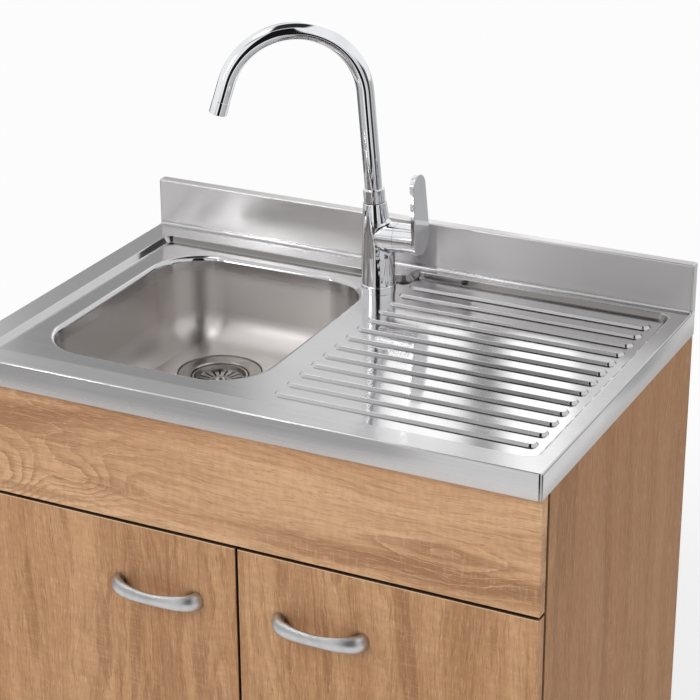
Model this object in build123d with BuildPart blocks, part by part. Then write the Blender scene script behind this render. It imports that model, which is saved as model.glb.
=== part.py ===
from build123d import *
from math import cos, pi, radians, sin
import os

# Sink base unit: a pressed steel sink top with a single-lever tap on a two-door cabinet.
# Millimetres. +Z up, the front faces -Y, +X is to the right seen from the front.
# The origin lies on the floor, in the middle of the floor area that the unit takes, handles included.
# Places called left, front and up are measured from the sink top's left side, its front and the floor.

# ================================================================ driving dimensions

# Sink top, one sheet of folded and pressed steel
top_width = 900.0
top_depth = 600.0
top_height = 858.0
sheet = 1.0
rim_height = 38.0
rim_corner_radius = 5.0
rim_edge_radius = 2.5
rim_return = 16.0
upstand_height = 75.0
upstand_thickness = 18.0
upstand_foot_radius = 4.0

# Recess that is pressed into the sink top
recess_depth = 8.0
recess_slope = 7.0
recess_left = 38.0
recess_right = 24.0
recess_front = 40.0
recess_back = 34.0
recess_left_radius = 18.0
recess_right_radius = 20.0
recess_edge_radius = 2.5
recess_floor_radius = 2.0
tap_ledge_depth = 26.0
tap_ledge_end = 462.0
tap_ledge_radius = 11.0

# Bowl
bowl_width = 342.0
bowl_depth = 130.0
bowl_left = 83.0
bowl_front = 90.0
bowl_back = 96.0
bowl_corner_radius = 78.0
bowl_roll = 8.0
bowl_floor_radius = 42.0
bowl_draft = 2.5

# Drainer ribs
rib_count = 13
rib_width = 21.0
rib_height = 4.0
rib_left = 474.0
rib_right = 42.0
rib_first = 91.0
rib_back = 77.0
rib_taper = 38.0
rib_edge_radius = 1.0

# Wooden core of the rim, and the damping pad under the drainer
core_inset = 3.0
core_clearance = 1.5
core_shelf_width = 40.0
core_shelf_height = 25.0
pad_width = 240.0
pad_length = 180.0
pad_thickness = 3.0

# Drain and strainer
drain_left = 224.0
drain_back = 228.0
flange_radius = 65.0
flange_clearance = 0.5
flange_seat = 4.0
flange_edge = 1.4
flange_crest = 2.4
flange_crest_inset = 1.5
flange_lip = 0.9
flange_lip_width = 2.5
pot_radius = 44.0
pot_foot_radius = 40.0
pot_wall = 1.2
pot_depth = 30.0
pot_hole_count = 8
pot_hole_radius = 5.0
pot_hole_ring = 20.0
basket_radius = 42.6
basket_rim_width = 2.6
basket_rim_drop = 1.8
basket_metal = 1.2
basket_wall_radius = 38.0
basket_dish_depth = 6.5
basket_hub_radius = 14.0
basket_hub_drop = 2.0
basket_knob_radius = 11.0
basket_knob_height = 7.5
basket_knob_profile = [(0.0, 1.0), (0.5, 0.94), (0.86, 0.65), (1.0, 0.3)]
basket_post_radius = 5.0
basket_foot_radius = 33.0
basket_foot_thickness = 2.5
basket_slot_count = 18
basket_slot_width = 2.8
basket_slot_inner = 17.0
basket_slot_outer = 36.0
basket_seat_gap = 0.3
seal_width = 6.0
seal_thickness = 3.0
waste_rim_radius = 56.0
waste_rim_thickness = 3.0
waste_wall = 2.5
waste_depth = 44.0
waste_cone_drop = 4.0
waste_neck_length = 26.0
waste_boss_radius = 7.0
waste_web_count = 3
waste_web_thickness = 3.0
waste_web_height = 10.0
waste_screw_radius = 3.0
waste_screw_length = 22.0
waste_screw_head_radius = 6.0
waste_screw_head_height = 2.0

# Bottle trap
pipe_radius = 20.0
pipe_wall = 2.0
pipe_clearance = 0.2
socket_wall = 2.5
socket_grip = 16.0
nut_wall = 4.5
nut_overlap = 12.0
nut_lip = 8.0
nut_rib_count = 12
nut_rib_radius = 1.6
trap_radius = 31.0
trap_wall = 2.5
trap_neck_gap = 40.0
trap_head_height = 70.0
trap_cap_thickness = 3.0
trap_outlet_drop = 30.0
trap_socket_length = 57.0
cup_overlap = 14.0
cup_height = 76.0
inlet_dip = 93.0
outlet_free_length = 45.0
outlet_bead_width = 4.0
outlet_bead_height = 1.2

# Cabinet
board = 16.0
side_overhang = 1.5
back_inset = 2.0
glide_height = 4.0
glide_radius = 7.0
glide_nail_radius = 1.5
glide_nail_length = 8.0
glide_front_inset = 15.0
glide_back_inset = 20.0
plinth_height = 100.0
plinth_setback = 50.0
rail_height = 100.0
cross_rail_bottom = 600.0
cross_rail_height = 80.0
back_board = 3.0
back_groove_depth = 6.0
back_groove_inset = 12.0
groove_clearance = 0.2
service_left = 180.0
service_width = 460.0
service_height = 300.0
service_bottom = 430.0
service_corner_radius = 20.0
dowel_radius = 4.0
dowel_length = 30.0
dowel_in_side = 11.0
dowel_clearance = 0.05
dowel_end_gap = 0.5
dowel_rail_inset = 25.0
dowel_narrow_inset = 20.0
dowel_plinth_inset = 26.0
dowel_bottom_inset = 60.0

# Doors and fixed front panel
front_board = 18.0
front_setback = 12.0
front_gap = 4.0
reveal = 1.5
joint_gap = 5.0
fascia_height = 172.0
fascia_top_gap = 2.0
door_gap = 4.0
door_bottom_gap = 2.0
front_edge_radius = 1.2
fascia_fixing_across = 300.0
fascia_fixing_drop = 48.0
fascia_fixing_rise = 17.0
spacer_radius = 6.0

# Handles
handle_pitch = 128.0
handle_reach = 30.0
handle_middle_height = 18.0
handle_middle_thickness = 9.0
handle_foot_height = 27.5
handle_foot_length = 19.0
handle_flare_power = 1.5
handle_section_count = 9
handle_centre_offset = 129.0
handle_drop = 97.0
handle_screw_radius = 2.0
handle_screw_grip = 11.0
handle_screw_head_radius = 4.0
handle_screw_head_height = 2.2

# Concealed hinges, seen from above: across from the cabinet's side, forward from its front edge
hinge_end_distance = 95.0
cup_radius = 17.5
cup_wall = 0.8
cup_depth = 12.4
cup_clearance = 0.1
cup_edge_distance = 20.5
cup_flange = 1.0
cup_flange_radius = 20.0
cup_wing_span = 62.0
cup_wing_width = 15.0
cup_wing_radius = 5.0
cup_screw_pitch = 48.0
cup_screw_offset = 6.0
pivot_edge_distance = 7.5
pivot_depth = 8.5
hinge_pin_radius = 1.2
hinge_pin_length = 16.0
running_clearance = 0.05
ear_reach = 2.5
ear_inner_height = 5.6
ear_height = 2.3
eye_radius = 2.4
arm_height = 10.4
arm_metal = 2.2
arm_corner = 2.0
arm_leg_distance = 4.0
arm_channel_width = 17.0
arm_channel_wall = 1.5
arm_channel_start = 8.0
arm_channel_end = 66.0
plate_metal = 2.0
plate_start = 18.0
plate_end = 62.0
plate_width = 20.0
plate_screw_setback = 37.0
plate_screw_pitch = 32.0
plate_wing_width = 14.0
plate_wing_span = 44.0
plate_ridge_width = 12.0
plate_ridge_inset = 2.0
door_buffer_radius = 4.5
door_buffer_clearance = 0.4
door_buffer_inset = 40.0
door_buffer_top_drop = 22.5
door_buffer_bottom_rise = 6.5

# Small screws and the clips that hold the sink top
screw_radius = 2.0
screw_length = 13.0
screw_head_radius = 3.8
screw_head_height = 2.0
screw_clearance = 0.05
screw_end_gap = 0.5
screw_crown_share = 0.7
screw_edge_share = 0.4
long_screw_length = 30.0
clip_metal = 2.0
clip_height = 30.0
clip_width = 30.0
clip_reach = 20.0
clip_screw_rise = 10.0
clip_screw_reach = 12.0
clip_end_distance = 150.0

# Tap
tap_left = 430.0
tap_back = 96.0
tap_hole_radius = 17.5
tap_base_radius = 27.0
tap_base_height = 6.0
tap_base_bore = 16.5
tap_base_edge_radius = 1.2
tap_body_radius = 25.5
tap_seam_chamfer = 0.8
tap_shoulder_height = 52.0
neck_height = 70.0
neck_tilt = 4.48
neck_azimuth = 213.5
neck_length = 66.0
neck_radius = 17.6
neck_edge_radius = 0.8
waterway_radius = 5.0
collar_radius = 16.2
collar_length = 20.5
collar_gap = 0.4
collar_bevel = 0.5
collar_floor = 3.0
collar_bore = 6.0
journal_radius = 9.0
journal_length = 28.0
journal_end_gap = 1.0
spout_radius = 13.0
spout_wall = 1.5
spout_rise = 236.7
spout_bend_radius = 104.2
spout_bend_angle = 158.8
spout_tail = 27.1
aerator_radius = 13.4
aerator_length = 20.0
aerator_bevel = 0.6
aerator_bore = 11.5
aerator_grid_inset = 2.0
aerator_grid_thickness = 3.0
aerator_hole_radius = 1.0
aerator_ring_count = 2
aerator_ring_pitch = 4.0
aerator_ring_holes = 6
branch_height = 82.0
branch_azimuth = -5.0
branch_elevation = 4.0
branch_radius = 22.5
branch_length = 36.0
branch_blend_radius = 8.0
cartridge_radius = 17.5
cartridge_start = 6.0
cartridge_length = 25.0
cartridge_bore_start = 2.0
stem_radius = 4.0
stem_start = 20.0
stem_length = 45.0
stem_end_gap = 0.5
lock_ring_spigot = 18.45
lock_ring_reach = 9.0
lock_ring_bore = 6.0
hub_end = 70.0
hub_cap = 3.0
hub_boss_radius = 8.0
hub_boss_start = 47.0
hub_foot_half_width = 9.0
hub_foot_bottom = 18.8
hub_foot_top = 10.0
hub_foot_start = 61.0
lever_gap = 0.4
lever_thickness = 7.0
lever_width = 44.0
lever_foot_drop = 23.5
lever_tip_width = 36.0
lever_reach = 102.5
lever_bevel_start = 18.0
lever_bevel_depth = 3.5
lever_edge_radius = 1.2
lever_pin_radius = 1.5
lever_pin_length = 16.0
lever_pin_drop = 15.5
lever_pin_place = 66.5
lever_lug_width = 9.0
lever_lug_radius = 3.0
lever_lug_clearance = 0.3
lever_relief_angle = 24.0
inlet_radius = 4.5
inlet_across = 6.0
inlet_apart = 16.0
inlet_depth = 15.0
passage_radius = 3.0
passage_height = 62.0
stud_radius = 4.0
stud_across = -10.0
stud_length = 90.0
stud_grip = 20.0
stud_clearance = 0.05
clamp_radius = 24.0
clamp_thickness = 3.0
clamp_slot_start = -2.0
clamp_slot_width = 27.0
clamp_nut_radius = 7.0
clamp_nut_height = 8.0
clamp_nut_sides = 6

# Tolerances for finding an edge at a known place, and one near the branch's round surface
edge_tolerance = 0.05
outline_tolerance = 1.0
surface_tolerance = 0.4

# ================================================================ places worked out from them

rim_bottom = top_height - rim_height
recess_floor = top_height - recess_depth
bowl_floor = recess_floor - bowl_depth
seat_floor = bowl_floor - flange_seat
handle_overhang = handle_reach - front_setback
overall_depth = top_depth + handle_overhang
front_y = handle_overhang - overall_depth / 2
back_y = front_y + top_depth


def at_left(distance):
    """X of a place that lies the given distance from the sink top's left side."""
    return distance - top_width / 2


def at_front(distance):
    """Y of a place that lies the given distance behind the sink top's front."""
    return front_y + distance


side_outer = top_width / 2 - side_overhang
side_inner = side_outer - board
carcass_front = at_front(front_setback + front_board + front_gap)
carcass_back = back_y - back_inset
front_face = at_front(front_setback)
front_back_face = front_face + front_board
front_outer = side_outer - reveal
fascia_top = rim_bottom - fascia_top_gap
fascia_bottom = fascia_top - fascia_height
door_top = fascia_bottom - joint_gap
door_bottom = plinth_height + door_bottom_gap
back_board_front = carcass_back - back_groove_inset - back_board
back_rail_front = back_board_front - board
bottom_top = plinth_height + board
rail_bottom = rim_bottom - rail_height
core_bottom = rim_bottom + sheet
bowl_length = top_depth - bowl_front - bowl_back
rib_length = top_width - rib_left - rib_right
rib_pitch = (top_depth - rib_first - rib_back) / (rib_count - 1)
drain_x = at_left(drain_left)
drain_y = at_front(top_depth - drain_back)
tap_x = at_left(tap_left)
tap_y = at_front(top_depth - tap_back)
socket_bore = pipe_radius + pipe_clearance
socket_radius = socket_bore + socket_wall
hinge_levels = [door_bottom + hinge_end_distance, door_top - hinge_end_distance]
sides = {"left": -1, "right": 1}

os.makedirs("parts", exist_ok=True)


def finish(piece, name):
    """Labels a finished piece and writes its file."""
    piece.part.label = name
    export_step(piece.part, f"parts/{name}.step")


def block(low, high):
    """A box between two corners, in any order."""
    size = [abs(b - a) for a, b in zip(low, high)]
    middle = [(a + b) / 2 for a, b in zip(low, high)]
    with BuildPart() as form:
        with Locations(tuple(middle)):
            Box(*size)
    return form.part


def rod(plane, radius, length):
    """A round bar that rises from a plane."""
    with BuildPart() as form:
        with BuildSketch(plane):
            Circle(radius)
        extrude(amount=length)
    return form.part


def facing(place_x, place_y, place_z):
    """A plane whose normal points forward, away from the cabinet."""
    return Plane(origin=(place_x, place_y, place_z), x_dir=(1, 0, 0), z_dir=(0, -1, 0))


def facing_back(place_x, place_y, place_z):
    """A plane whose normal points back, into the cabinet."""
    return Plane(origin=(place_x, place_y, place_z), x_dir=(1, 0, 0), z_dir=(0, 1, 0))


def turned(plane, points):
    """A solid of revolution about a plane's normal, from points of radius and height above the plane."""
    with BuildPart() as form:
        with BuildSketch(Plane(origin=plane.origin, x_dir=plane.x_dir, z_dir=plane.y_dir * -1)):
            with BuildLine():
                Polyline(*points, close=True)
            make_face()
        revolve(axis=Axis(plane.origin, plane.z_dir))
    return form.part


def screw_form(radius, length, head_radius, head_height):
    """A pan-head screw along -Z whose head stands on the XY plane, with a cross in the head."""
    crown_radius = head_radius * screw_crown_share
    crown_edge = head_height * screw_edge_share
    points = [
        (0, head_height),
        (crown_radius, head_height),
        (head_radius, crown_edge),
        (head_radius, 0),
        (radius, 0),
        (radius, radius - length),
        (0, -length),
    ]
    with BuildPart() as form:
        add(turned(Plane.XY, points))
        with BuildSketch(Plane.XY.offset(head_height)):
            Rectangle(crown_radius * 2, crown_radius / 2)
            Rectangle(crown_radius / 2, crown_radius * 2)
        extrude(amount=-head_height / 2, mode=Mode.SUBTRACT)
    return form.part


small_screw = screw_form(screw_radius, screw_length, screw_head_radius, screw_head_height)
long_screw = screw_form(screw_radius, long_screw_length, screw_head_radius, screw_head_height)
screw_hole = screw_radius + screw_clearance

# ================================================================ sink top


def folded_block(skin):
    """The solid within the folded top's outer faces, or within the inside of its sheet."""
    front = at_front(skin)
    back = at_front(top_depth - skin)
    step = at_front(top_depth - upstand_thickness + skin)
    low = rim_bottom + skin
    deck = top_height - skin
    crest = top_height + upstand_height - skin
    half_width = top_width / 2 - skin
    points = [(front, low), (front, deck), (step, deck), (step, crest), (back, crest), (back, low)]
    foot = upstand_foot_radius + skin
    with BuildPart() as form:
        with BuildSketch(Plane.YZ.offset(-half_width)):
            with BuildLine():
                FilletPolyline(*points, radius=[0, 0, foot, 0, 0, 0], close=True)
            make_face()
        extrude(amount=2 * half_width)
        fillet(form.edges().filter_by(Axis.Z).group_by(Axis.Y)[0], radius=rim_corner_radius - skin)
        lower = form.edges().group_by(Axis.Z)[0]
        front_corners = form.edges().filter_by(Axis.Z).group_by(Axis.Y)[:2]
        kept = [*lower, *front_corners[0], *front_corners[1]]
        foot_line = form.edges().filter_by(Axis.X).filter_by_position(Axis.Z, deck - foot, deck + foot)
        kept += foot_line.filter_by_position(Axis.Y, step - 2 * foot, step + foot)
        rounded = [edge for edge in form.edges() if not any(edge.is_same(other) for other in kept)]
        fillet(rounded, radius=rim_edge_radius - skin)
    return form.part


def recess_outline(grow):
    """Corners and corner radii of the recess, drawn outside its edge by the given amount."""
    left = at_left(recess_left) - grow
    right = at_left(top_width - recess_right) + grow
    front = at_front(recess_front) - grow
    back = at_front(top_depth - recess_back) + grow
    ledge_front = back - tap_ledge_depth
    ledge_end = at_left(tap_ledge_end) - grow
    points = [(left, front), (right, front), (right, back)]
    points += [(ledge_end, back), (ledge_end, ledge_front), (left, ledge_front)]
    left_radius = recess_left_radius + grow
    right_radius = recess_right_radius + grow
    radii = [left_radius, right_radius, right_radius]
    radii += [tap_ledge_radius + grow, tap_ledge_radius - grow, left_radius]
    return points, radii


def recess_face(height, grow):
    """The recess outline as a flat face at a height."""
    points, radii = recess_outline(grow)
    with BuildSketch(Plane.XY.offset(height)) as face:
        with BuildLine():
            FilletPolyline(*points, radius=radii, close=True)
        make_face()
    return face.sketch


def edges_at(form, height):
    """Edges of a form that lie flat at a height."""
    return form.edges().filter_by_position(Axis.Z, height - edge_tolerance, height + edge_tolerance)


def pressing(grow):
    """The hollow of recess, bowl and drain seat above the sheet, or the same one grown to its underside."""
    bowl_x = at_left(bowl_left + bowl_width / 2)
    bowl_y = at_front(bowl_front + bowl_length / 2)
    mouth_height = recess_floor - grow
    with BuildPart() as form:
        add(loft([recess_face(top_height, grow), recess_face(mouth_height, grow - recess_slope)], ruled=True))
        fillet(form.edges().group_by(Axis.Z)[0], radius=recess_floor_radius + grow)
        with BuildSketch(Plane(origin=(bowl_x, bowl_y, mouth_height))):
            RectangleRounded(bowl_width + 2 * grow, bowl_length + 2 * grow, bowl_corner_radius + grow)
        extrude(amount=-bowl_depth, taper=bowl_draft)
        fillet(form.edges().group_by(Axis.Z)[0], radius=bowl_floor_radius + grow)
        reach_x = bowl_width / 2 + bowl_roll
        reach_y = bowl_length / 2 + bowl_roll
        mouth = edges_at(form, mouth_height)
        mouth = mouth.filter_by_position(Axis.X, bowl_x - reach_x, bowl_x + reach_x)
        mouth = mouth.filter_by_position(Axis.Y, bowl_y - reach_y, bowl_y + reach_y)
        fillet(mouth, radius=bowl_roll - grow)
        with BuildSketch(Plane(origin=(drain_x, drain_y, bowl_floor - grow))):
            Circle(flange_radius + flange_clearance + grow)
        extrude(amount=-flange_seat)
    return form.part


rib_middle = at_left(rib_left + rib_length / 2)
rib_places = [(rib_middle, at_front(rib_first + index * rib_pitch)) for index in range(rib_count)]
outer_block = folded_block(0)
inner_block = folded_block(sheet)
press_hollow = pressing(0)
press_skin = pressing(sheet)
pot_hole = pot_radius + pot_wall + flange_clearance

with BuildPart() as sink_top:
    add(outer_block)
    add(inner_block, mode=Mode.SUBTRACT)
    with BuildSketch(Plane(origin=(0, (front_y + back_y) / 2, rim_bottom))):
        Rectangle(top_width - 2 * rim_return, top_depth - 2 * rim_return)
    extrude(amount=sheet, mode=Mode.SUBTRACT)
    add(press_skin)
    add(press_hollow, mode=Mode.SUBTRACT)
    recess_edge = edges_at(sink_top, top_height)
    recess_left_x = at_left(recess_left - outline_tolerance)
    recess_right_x = at_left(top_width - recess_right + outline_tolerance)
    recess_front_y = at_front(recess_front - outline_tolerance)
    recess_back_y = at_front(top_depth - recess_back + outline_tolerance)
    recess_edge = recess_edge.filter_by_position(Axis.X, recess_left_x, recess_right_x)
    recess_edge = recess_edge.filter_by_position(Axis.Y, recess_front_y, recess_back_y)
    fillet(recess_edge, radius=recess_edge_radius)
    with BuildSketch(Plane.XY.offset(recess_floor)):
        with Locations(*rib_places):
            SlotOverall(rib_length, rib_width)
    extrude(amount=rib_height, taper=rib_taper)
    rib_edges = edges_at(sink_top, recess_floor + rib_height)
    rib_edges = rib_edges.filter_by_position(Axis.X, at_left(rib_left), at_left(top_width))
    fillet(rib_edges, radius=rib_edge_radius)
    with BuildSketch(Plane.XY.offset(recess_floor - sheet)):
        with Locations(*rib_places):
            SlotOverall(rib_length - 2 * sheet, rib_width - 2 * sheet)
    extrude(amount=rib_height, taper=rib_taper, mode=Mode.SUBTRACT)
    with BuildSketch(Plane(origin=(tap_x, tap_y, recess_floor))):
        Circle(tap_hole_radius)
    extrude(amount=-sheet, mode=Mode.SUBTRACT)
    with BuildSketch(Plane(origin=(drain_x, drain_y, seat_floor))):
        Circle(pot_hole)
    extrude(amount=-sheet, mode=Mode.SUBTRACT)
finish(sink_top, "sink_top")

pad_x = at_left(rib_left + rib_length / 2)
pad_y = at_front(rib_first + rib_pitch * (rib_count - 1) / 2)
with BuildPart() as damping_pad:
    with BuildSketch(Plane(origin=(pad_x, pad_y, recess_floor - sheet))):
        RectangleRounded(pad_width, pad_length, pad_thickness)
    extrude(amount=-pad_thickness)
finish(damping_pad, "damping_pad")

# ================================================================ drain, strainer and trap

drain_axis = Plane(origin=(drain_x, drain_y, 0))
pot_floor = seat_floor - pot_depth
lip_radius = pot_radius + flange_lip_width
pot_outside = pot_radius + pot_wall
flange_points = [
    (flange_radius, seat_floor),
    (flange_radius, seat_floor + flange_edge),
    (flange_radius - flange_crest_inset, seat_floor + flange_crest),
    (lip_radius, seat_floor + flange_lip),
    (pot_outside, seat_floor + flange_lip / 2),
    (pot_radius, seat_floor - flange_lip),
    (pot_foot_radius, pot_floor),
    (waste_screw_radius, pot_floor),
    (waste_screw_radius, pot_floor - pot_wall),
    (pot_foot_radius + pot_wall, pot_floor - pot_wall),
    (pot_outside, seat_floor - flange_lip),
    (pot_outside, seat_floor),
]
with BuildPart() as strainer_flange:
    add(turned(drain_axis, flange_points))
    with BuildSketch(drain_axis.offset(pot_floor)):
        with PolarLocations(pot_hole_ring, pot_hole_count):
            Circle(pot_hole_radius)
    extrude(amount=-pot_wall, mode=Mode.SUBTRACT)
finish(strainer_flange, "strainer_flange")

basket_rim_top = seat_floor - basket_rim_drop
basket_dish = basket_rim_top - basket_dish_depth
basket_hub = basket_dish - basket_hub_drop
foot_bottom = pot_floor + basket_seat_gap + seal_thickness
foot_top = foot_bottom + basket_foot_thickness
basket_lip_radius = basket_radius - basket_rim_width
knob_points = [
    (basket_knob_radius * out, basket_hub + basket_knob_height * up) for out, up in basket_knob_profile
]
basket_points = [
    *knob_points,
    (basket_hub_radius, basket_hub),
    (basket_wall_radius, basket_dish),
    (basket_lip_radius, basket_rim_top),
    (basket_radius, basket_rim_top),
    (basket_radius, basket_rim_top - basket_metal),
    (basket_lip_radius + basket_metal, basket_rim_top - basket_metal),
    (basket_wall_radius + basket_metal, basket_dish - basket_metal),
    (basket_hub_radius, basket_hub - basket_metal),
    (basket_post_radius, basket_hub - basket_metal),
    (basket_post_radius, foot_top),
    (basket_foot_radius, foot_top),
    (basket_foot_radius, foot_bottom),
    (0, foot_bottom),
]
slot_middle = (basket_slot_inner + basket_slot_outer) / 2
with BuildPart() as strainer_basket:
    add(turned(drain_axis, basket_points))
    with BuildSketch(drain_axis.offset(basket_hub - 2 * basket_metal)):
        with PolarLocations(slot_middle, basket_slot_count):
            SlotOverall(basket_slot_outer - basket_slot_inner, basket_slot_width)
    extrude(amount=basket_dish_depth, mode=Mode.SUBTRACT)
finish(strainer_basket, "strainer_basket")

with BuildPart() as basket_seal:
    with BuildSketch(drain_axis.offset(foot_bottom)):
        Circle(basket_foot_radius)
        Circle(basket_foot_radius - seal_width, mode=Mode.SUBTRACT)
    extrude(amount=-seal_thickness)
finish(basket_seal, "basket_seal")

gasket_top = seat_floor - sheet
waste_top = gasket_top - seal_thickness
waste_wall_bottom = waste_top - waste_depth
waste_cone_bottom = waste_wall_bottom - waste_cone_drop
neck_bottom = waste_cone_bottom - waste_neck_length
with BuildPart() as waste_gasket:
    with BuildSketch(drain_axis.offset(gasket_top)):
        Circle(waste_rim_radius)
        Circle(pot_hole, mode=Mode.SUBTRACT)
    extrude(amount=-seal_thickness)
finish(waste_gasket, "waste_gasket")

waste_points = [
    (pot_hole, waste_top),
    (waste_rim_radius, waste_top),
    (waste_rim_radius, waste_top - waste_rim_thickness),
    (pot_hole + waste_wall, waste_top - waste_rim_thickness),
    (pot_hole + waste_wall, waste_wall_bottom),
    (socket_radius, waste_cone_bottom),
    (socket_radius, neck_bottom),
    (socket_bore, neck_bottom),
    (socket_bore, waste_cone_bottom + waste_wall),
    (pot_hole, waste_wall_bottom + waste_wall),
]
screw_foot = pot_floor - waste_screw_length
boss_top = pot_floor - pot_wall
web_top = boss_top - waste_wall
with BuildPart() as waste_body:
    add(turned(drain_axis, waste_points))
    for turn in range(waste_web_count):
        with BuildSketch(drain_axis.offset(web_top).rotated((0, 0, turn * 180 / waste_web_count))):
            Rectangle(2 * pot_hole + waste_wall, waste_web_thickness)
        extrude(amount=-waste_web_height)
    with BuildSketch(drain_axis.offset(boss_top)):
        Circle(waste_boss_radius)
    extrude(amount=screw_foot - boss_top)
    with BuildSketch(drain_axis.offset(boss_top)):
        Circle(waste_screw_radius)
    extrude(amount=screw_foot - boss_top, mode=Mode.SUBTRACT)
finish(waste_body, "waste_body")

waste_screw_form = screw_form(
    waste_screw_radius, waste_screw_length, waste_screw_head_radius, waste_screw_head_height
)
with BuildPart() as waste_screw:
    add(drain_axis.offset(pot_floor) * waste_screw_form)
finish(waste_screw, "waste_screw")


def slip_nut(plane):
    """A ribbed union nut: its open side starts at the plane, and its lip closes in on the pipe."""
    height = nut_overlap + nut_lip
    outside = socket_radius + nut_wall
    with BuildPart() as form:
        with BuildSketch(plane):
            Circle(outside)
            with PolarLocations(outside, nut_rib_count):
                Circle(nut_rib_radius)
            Circle(socket_bore, mode=Mode.SUBTRACT)
        extrude(amount=height)
        with BuildSketch(plane):
            Circle(socket_radius)
        extrude(amount=nut_overlap, mode=Mode.SUBTRACT)
    return form.part


trap_top_height = neck_bottom - trap_neck_gap
trap_bottom = trap_top_height - trap_head_height
outlet_height = trap_top_height - trap_outlet_drop
outlet_axis = facing_back(drain_x, drain_y, outlet_height)
neck_end = Plane(origin=(drain_x, drain_y, neck_bottom + nut_overlap), x_dir=(1, 0, 0), z_dir=(0, 0, -1))
with BuildPart() as slip_nuts:
    add(slip_nut(neck_end))
    add(slip_nut(outlet_axis.offset(trap_socket_length - nut_overlap)))
finish(slip_nuts, "slip_nuts")

inlet_bottom = trap_top_height - inlet_dip
with BuildPart() as trap_inlet_pipe:
    with BuildSketch(drain_axis.offset(inlet_bottom)):
        Circle(pipe_radius)
        Circle(pipe_radius - pipe_wall, mode=Mode.SUBTRACT)
    extrude(amount=neck_bottom + socket_grip - inlet_bottom)
finish(trap_inlet_pipe, "trap_inlet_pipe")

trap_inside = trap_radius - trap_wall
head_points = [
    (socket_bore, trap_top_height),
    (trap_inside, trap_top_height),
    (trap_radius, trap_top_height - trap_cap_thickness),
    (trap_radius, trap_bottom),
    (trap_inside, trap_bottom),
    (trap_inside, trap_top_height - trap_cap_thickness),
    (socket_bore, trap_top_height - trap_cap_thickness),
]
with BuildPart() as trap_head:
    add(turned(drain_axis, head_points))
    with BuildSketch(outlet_axis.offset(trap_inside - trap_wall)):
        Circle(socket_radius)
    extrude(amount=trap_socket_length - trap_inside + trap_wall)
    chamber_height = trap_head_height - trap_cap_thickness
    add(rod(drain_axis.offset(trap_bottom), trap_inside, chamber_height), mode=Mode.SUBTRACT)
    add(rod(outlet_axis, socket_bore, trap_socket_length), mode=Mode.SUBTRACT)
finish(trap_head, "trap_head")

cup_top = trap_bottom + cup_overlap
cup_bottom = cup_top - cup_height
cup_inside = trap_radius + pipe_clearance
cup_outside = cup_inside + trap_wall
cup_points = [
    (0, cup_bottom),
    (cup_outside - trap_cap_thickness, cup_bottom),
    (cup_outside, cup_bottom + trap_cap_thickness),
    (cup_outside, cup_top),
    (cup_inside, cup_top),
    (cup_inside, trap_bottom),
    (trap_inside, trap_bottom),
    (trap_inside, cup_bottom + trap_cap_thickness),
    (0, cup_bottom + trap_cap_thickness),
]
with BuildPart() as trap_cup:
    add(turned(drain_axis, cup_points))
    with BuildSketch(drain_axis.offset(trap_bottom - cup_overlap)):
        with PolarLocations(cup_outside, nut_rib_count):
            Circle(nut_rib_radius)
        Circle(cup_inside, mode=Mode.SUBTRACT)
    extrude(amount=2 * cup_overlap)
finish(trap_cup, "trap_cup")

outlet_start = trap_socket_length - socket_grip
outlet_end = carcass_back - drain_y
bead_end = outlet_end - outlet_free_length
bead_start = bead_end - outlet_bead_width
bead_radius = pipe_radius + outlet_bead_height
outlet_points = [
    (pipe_radius - pipe_wall, outlet_start),
    (pipe_radius, outlet_start),
    (pipe_radius, bead_start),
    (bead_radius, bead_start + outlet_bead_height),
    (bead_radius, bead_end),
    (pipe_radius, bead_end),
    (pipe_radius, outlet_end),
    (pipe_radius - pipe_wall, outlet_end),
]
with BuildPart() as outlet_pipe:
    add(turned(outlet_axis, outlet_points))
finish(outlet_pipe, "outlet_pipe")

# ================================================================ cabinet

front_rail_y = carcass_front + board / 2
back_rail_y = back_rail_front + board / 2
plinth_y = carcass_front + plinth_setback + board / 2
bottom_mid = plinth_height + board / 2
cross_rail_top = cross_rail_bottom + cross_rail_height
dowel_places = {
    "bottom_panel": [
        (carcass_front + dowel_bottom_inset, bottom_mid),
        ((carcass_front + carcass_back) / 2, bottom_mid),
        (carcass_back - dowel_bottom_inset, bottom_mid),
    ],
    "front_rail": [
        (front_rail_y, rail_bottom + dowel_rail_inset),
        (front_rail_y, rim_bottom - dowel_rail_inset),
    ],
    "cross_rail": [
        (front_rail_y, cross_rail_bottom + dowel_narrow_inset),
        (front_rail_y, cross_rail_top - dowel_narrow_inset),
    ],
    "back_rail": [
        (back_rail_y, rail_bottom + dowel_rail_inset),
        (back_rail_y, rim_bottom - dowel_rail_inset),
    ],
    "plinth_board": [
        (plinth_y, glide_height + dowel_plinth_inset),
        (plinth_y, plinth_height - dowel_plinth_inset),
    ],
}


def across_plane(side, across, along, height):
    """A plane on the left or right half whose normal points outward, at a distance from the middle."""
    sign = sides[side]
    return Plane(origin=(sign * across, along, height), x_dir=(0, 1, 0), z_dir=(sign, 0, 0))


def dowel_rods(name, radius, start, end):
    """Round bars where one board's dowels sit, at both ends, between two distances from the middle."""
    bars = []
    for side in sides:
        for along, height in dowel_places[name]:
            bars.append(rod(across_plane(side, start, along, height), radius, end - start))
    return bars


dowel_hole = dowel_radius + dowel_clearance
dowel_end = side_inner + dowel_in_side
dowel_start = dowel_end - dowel_length


def cross_board(name, along, heights):
    """A board between the side panels, with dowel holes in its ends."""
    low = (-side_inner, along[0], heights[0])
    high = (side_inner, along[1], heights[1])
    with BuildPart() as form:
        add(block(low, high))
        for bar in dowel_rods(name, dowel_hole, dowel_start - dowel_end_gap, side_inner):
            add(bar, mode=Mode.SUBTRACT)
    return form.part


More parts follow.
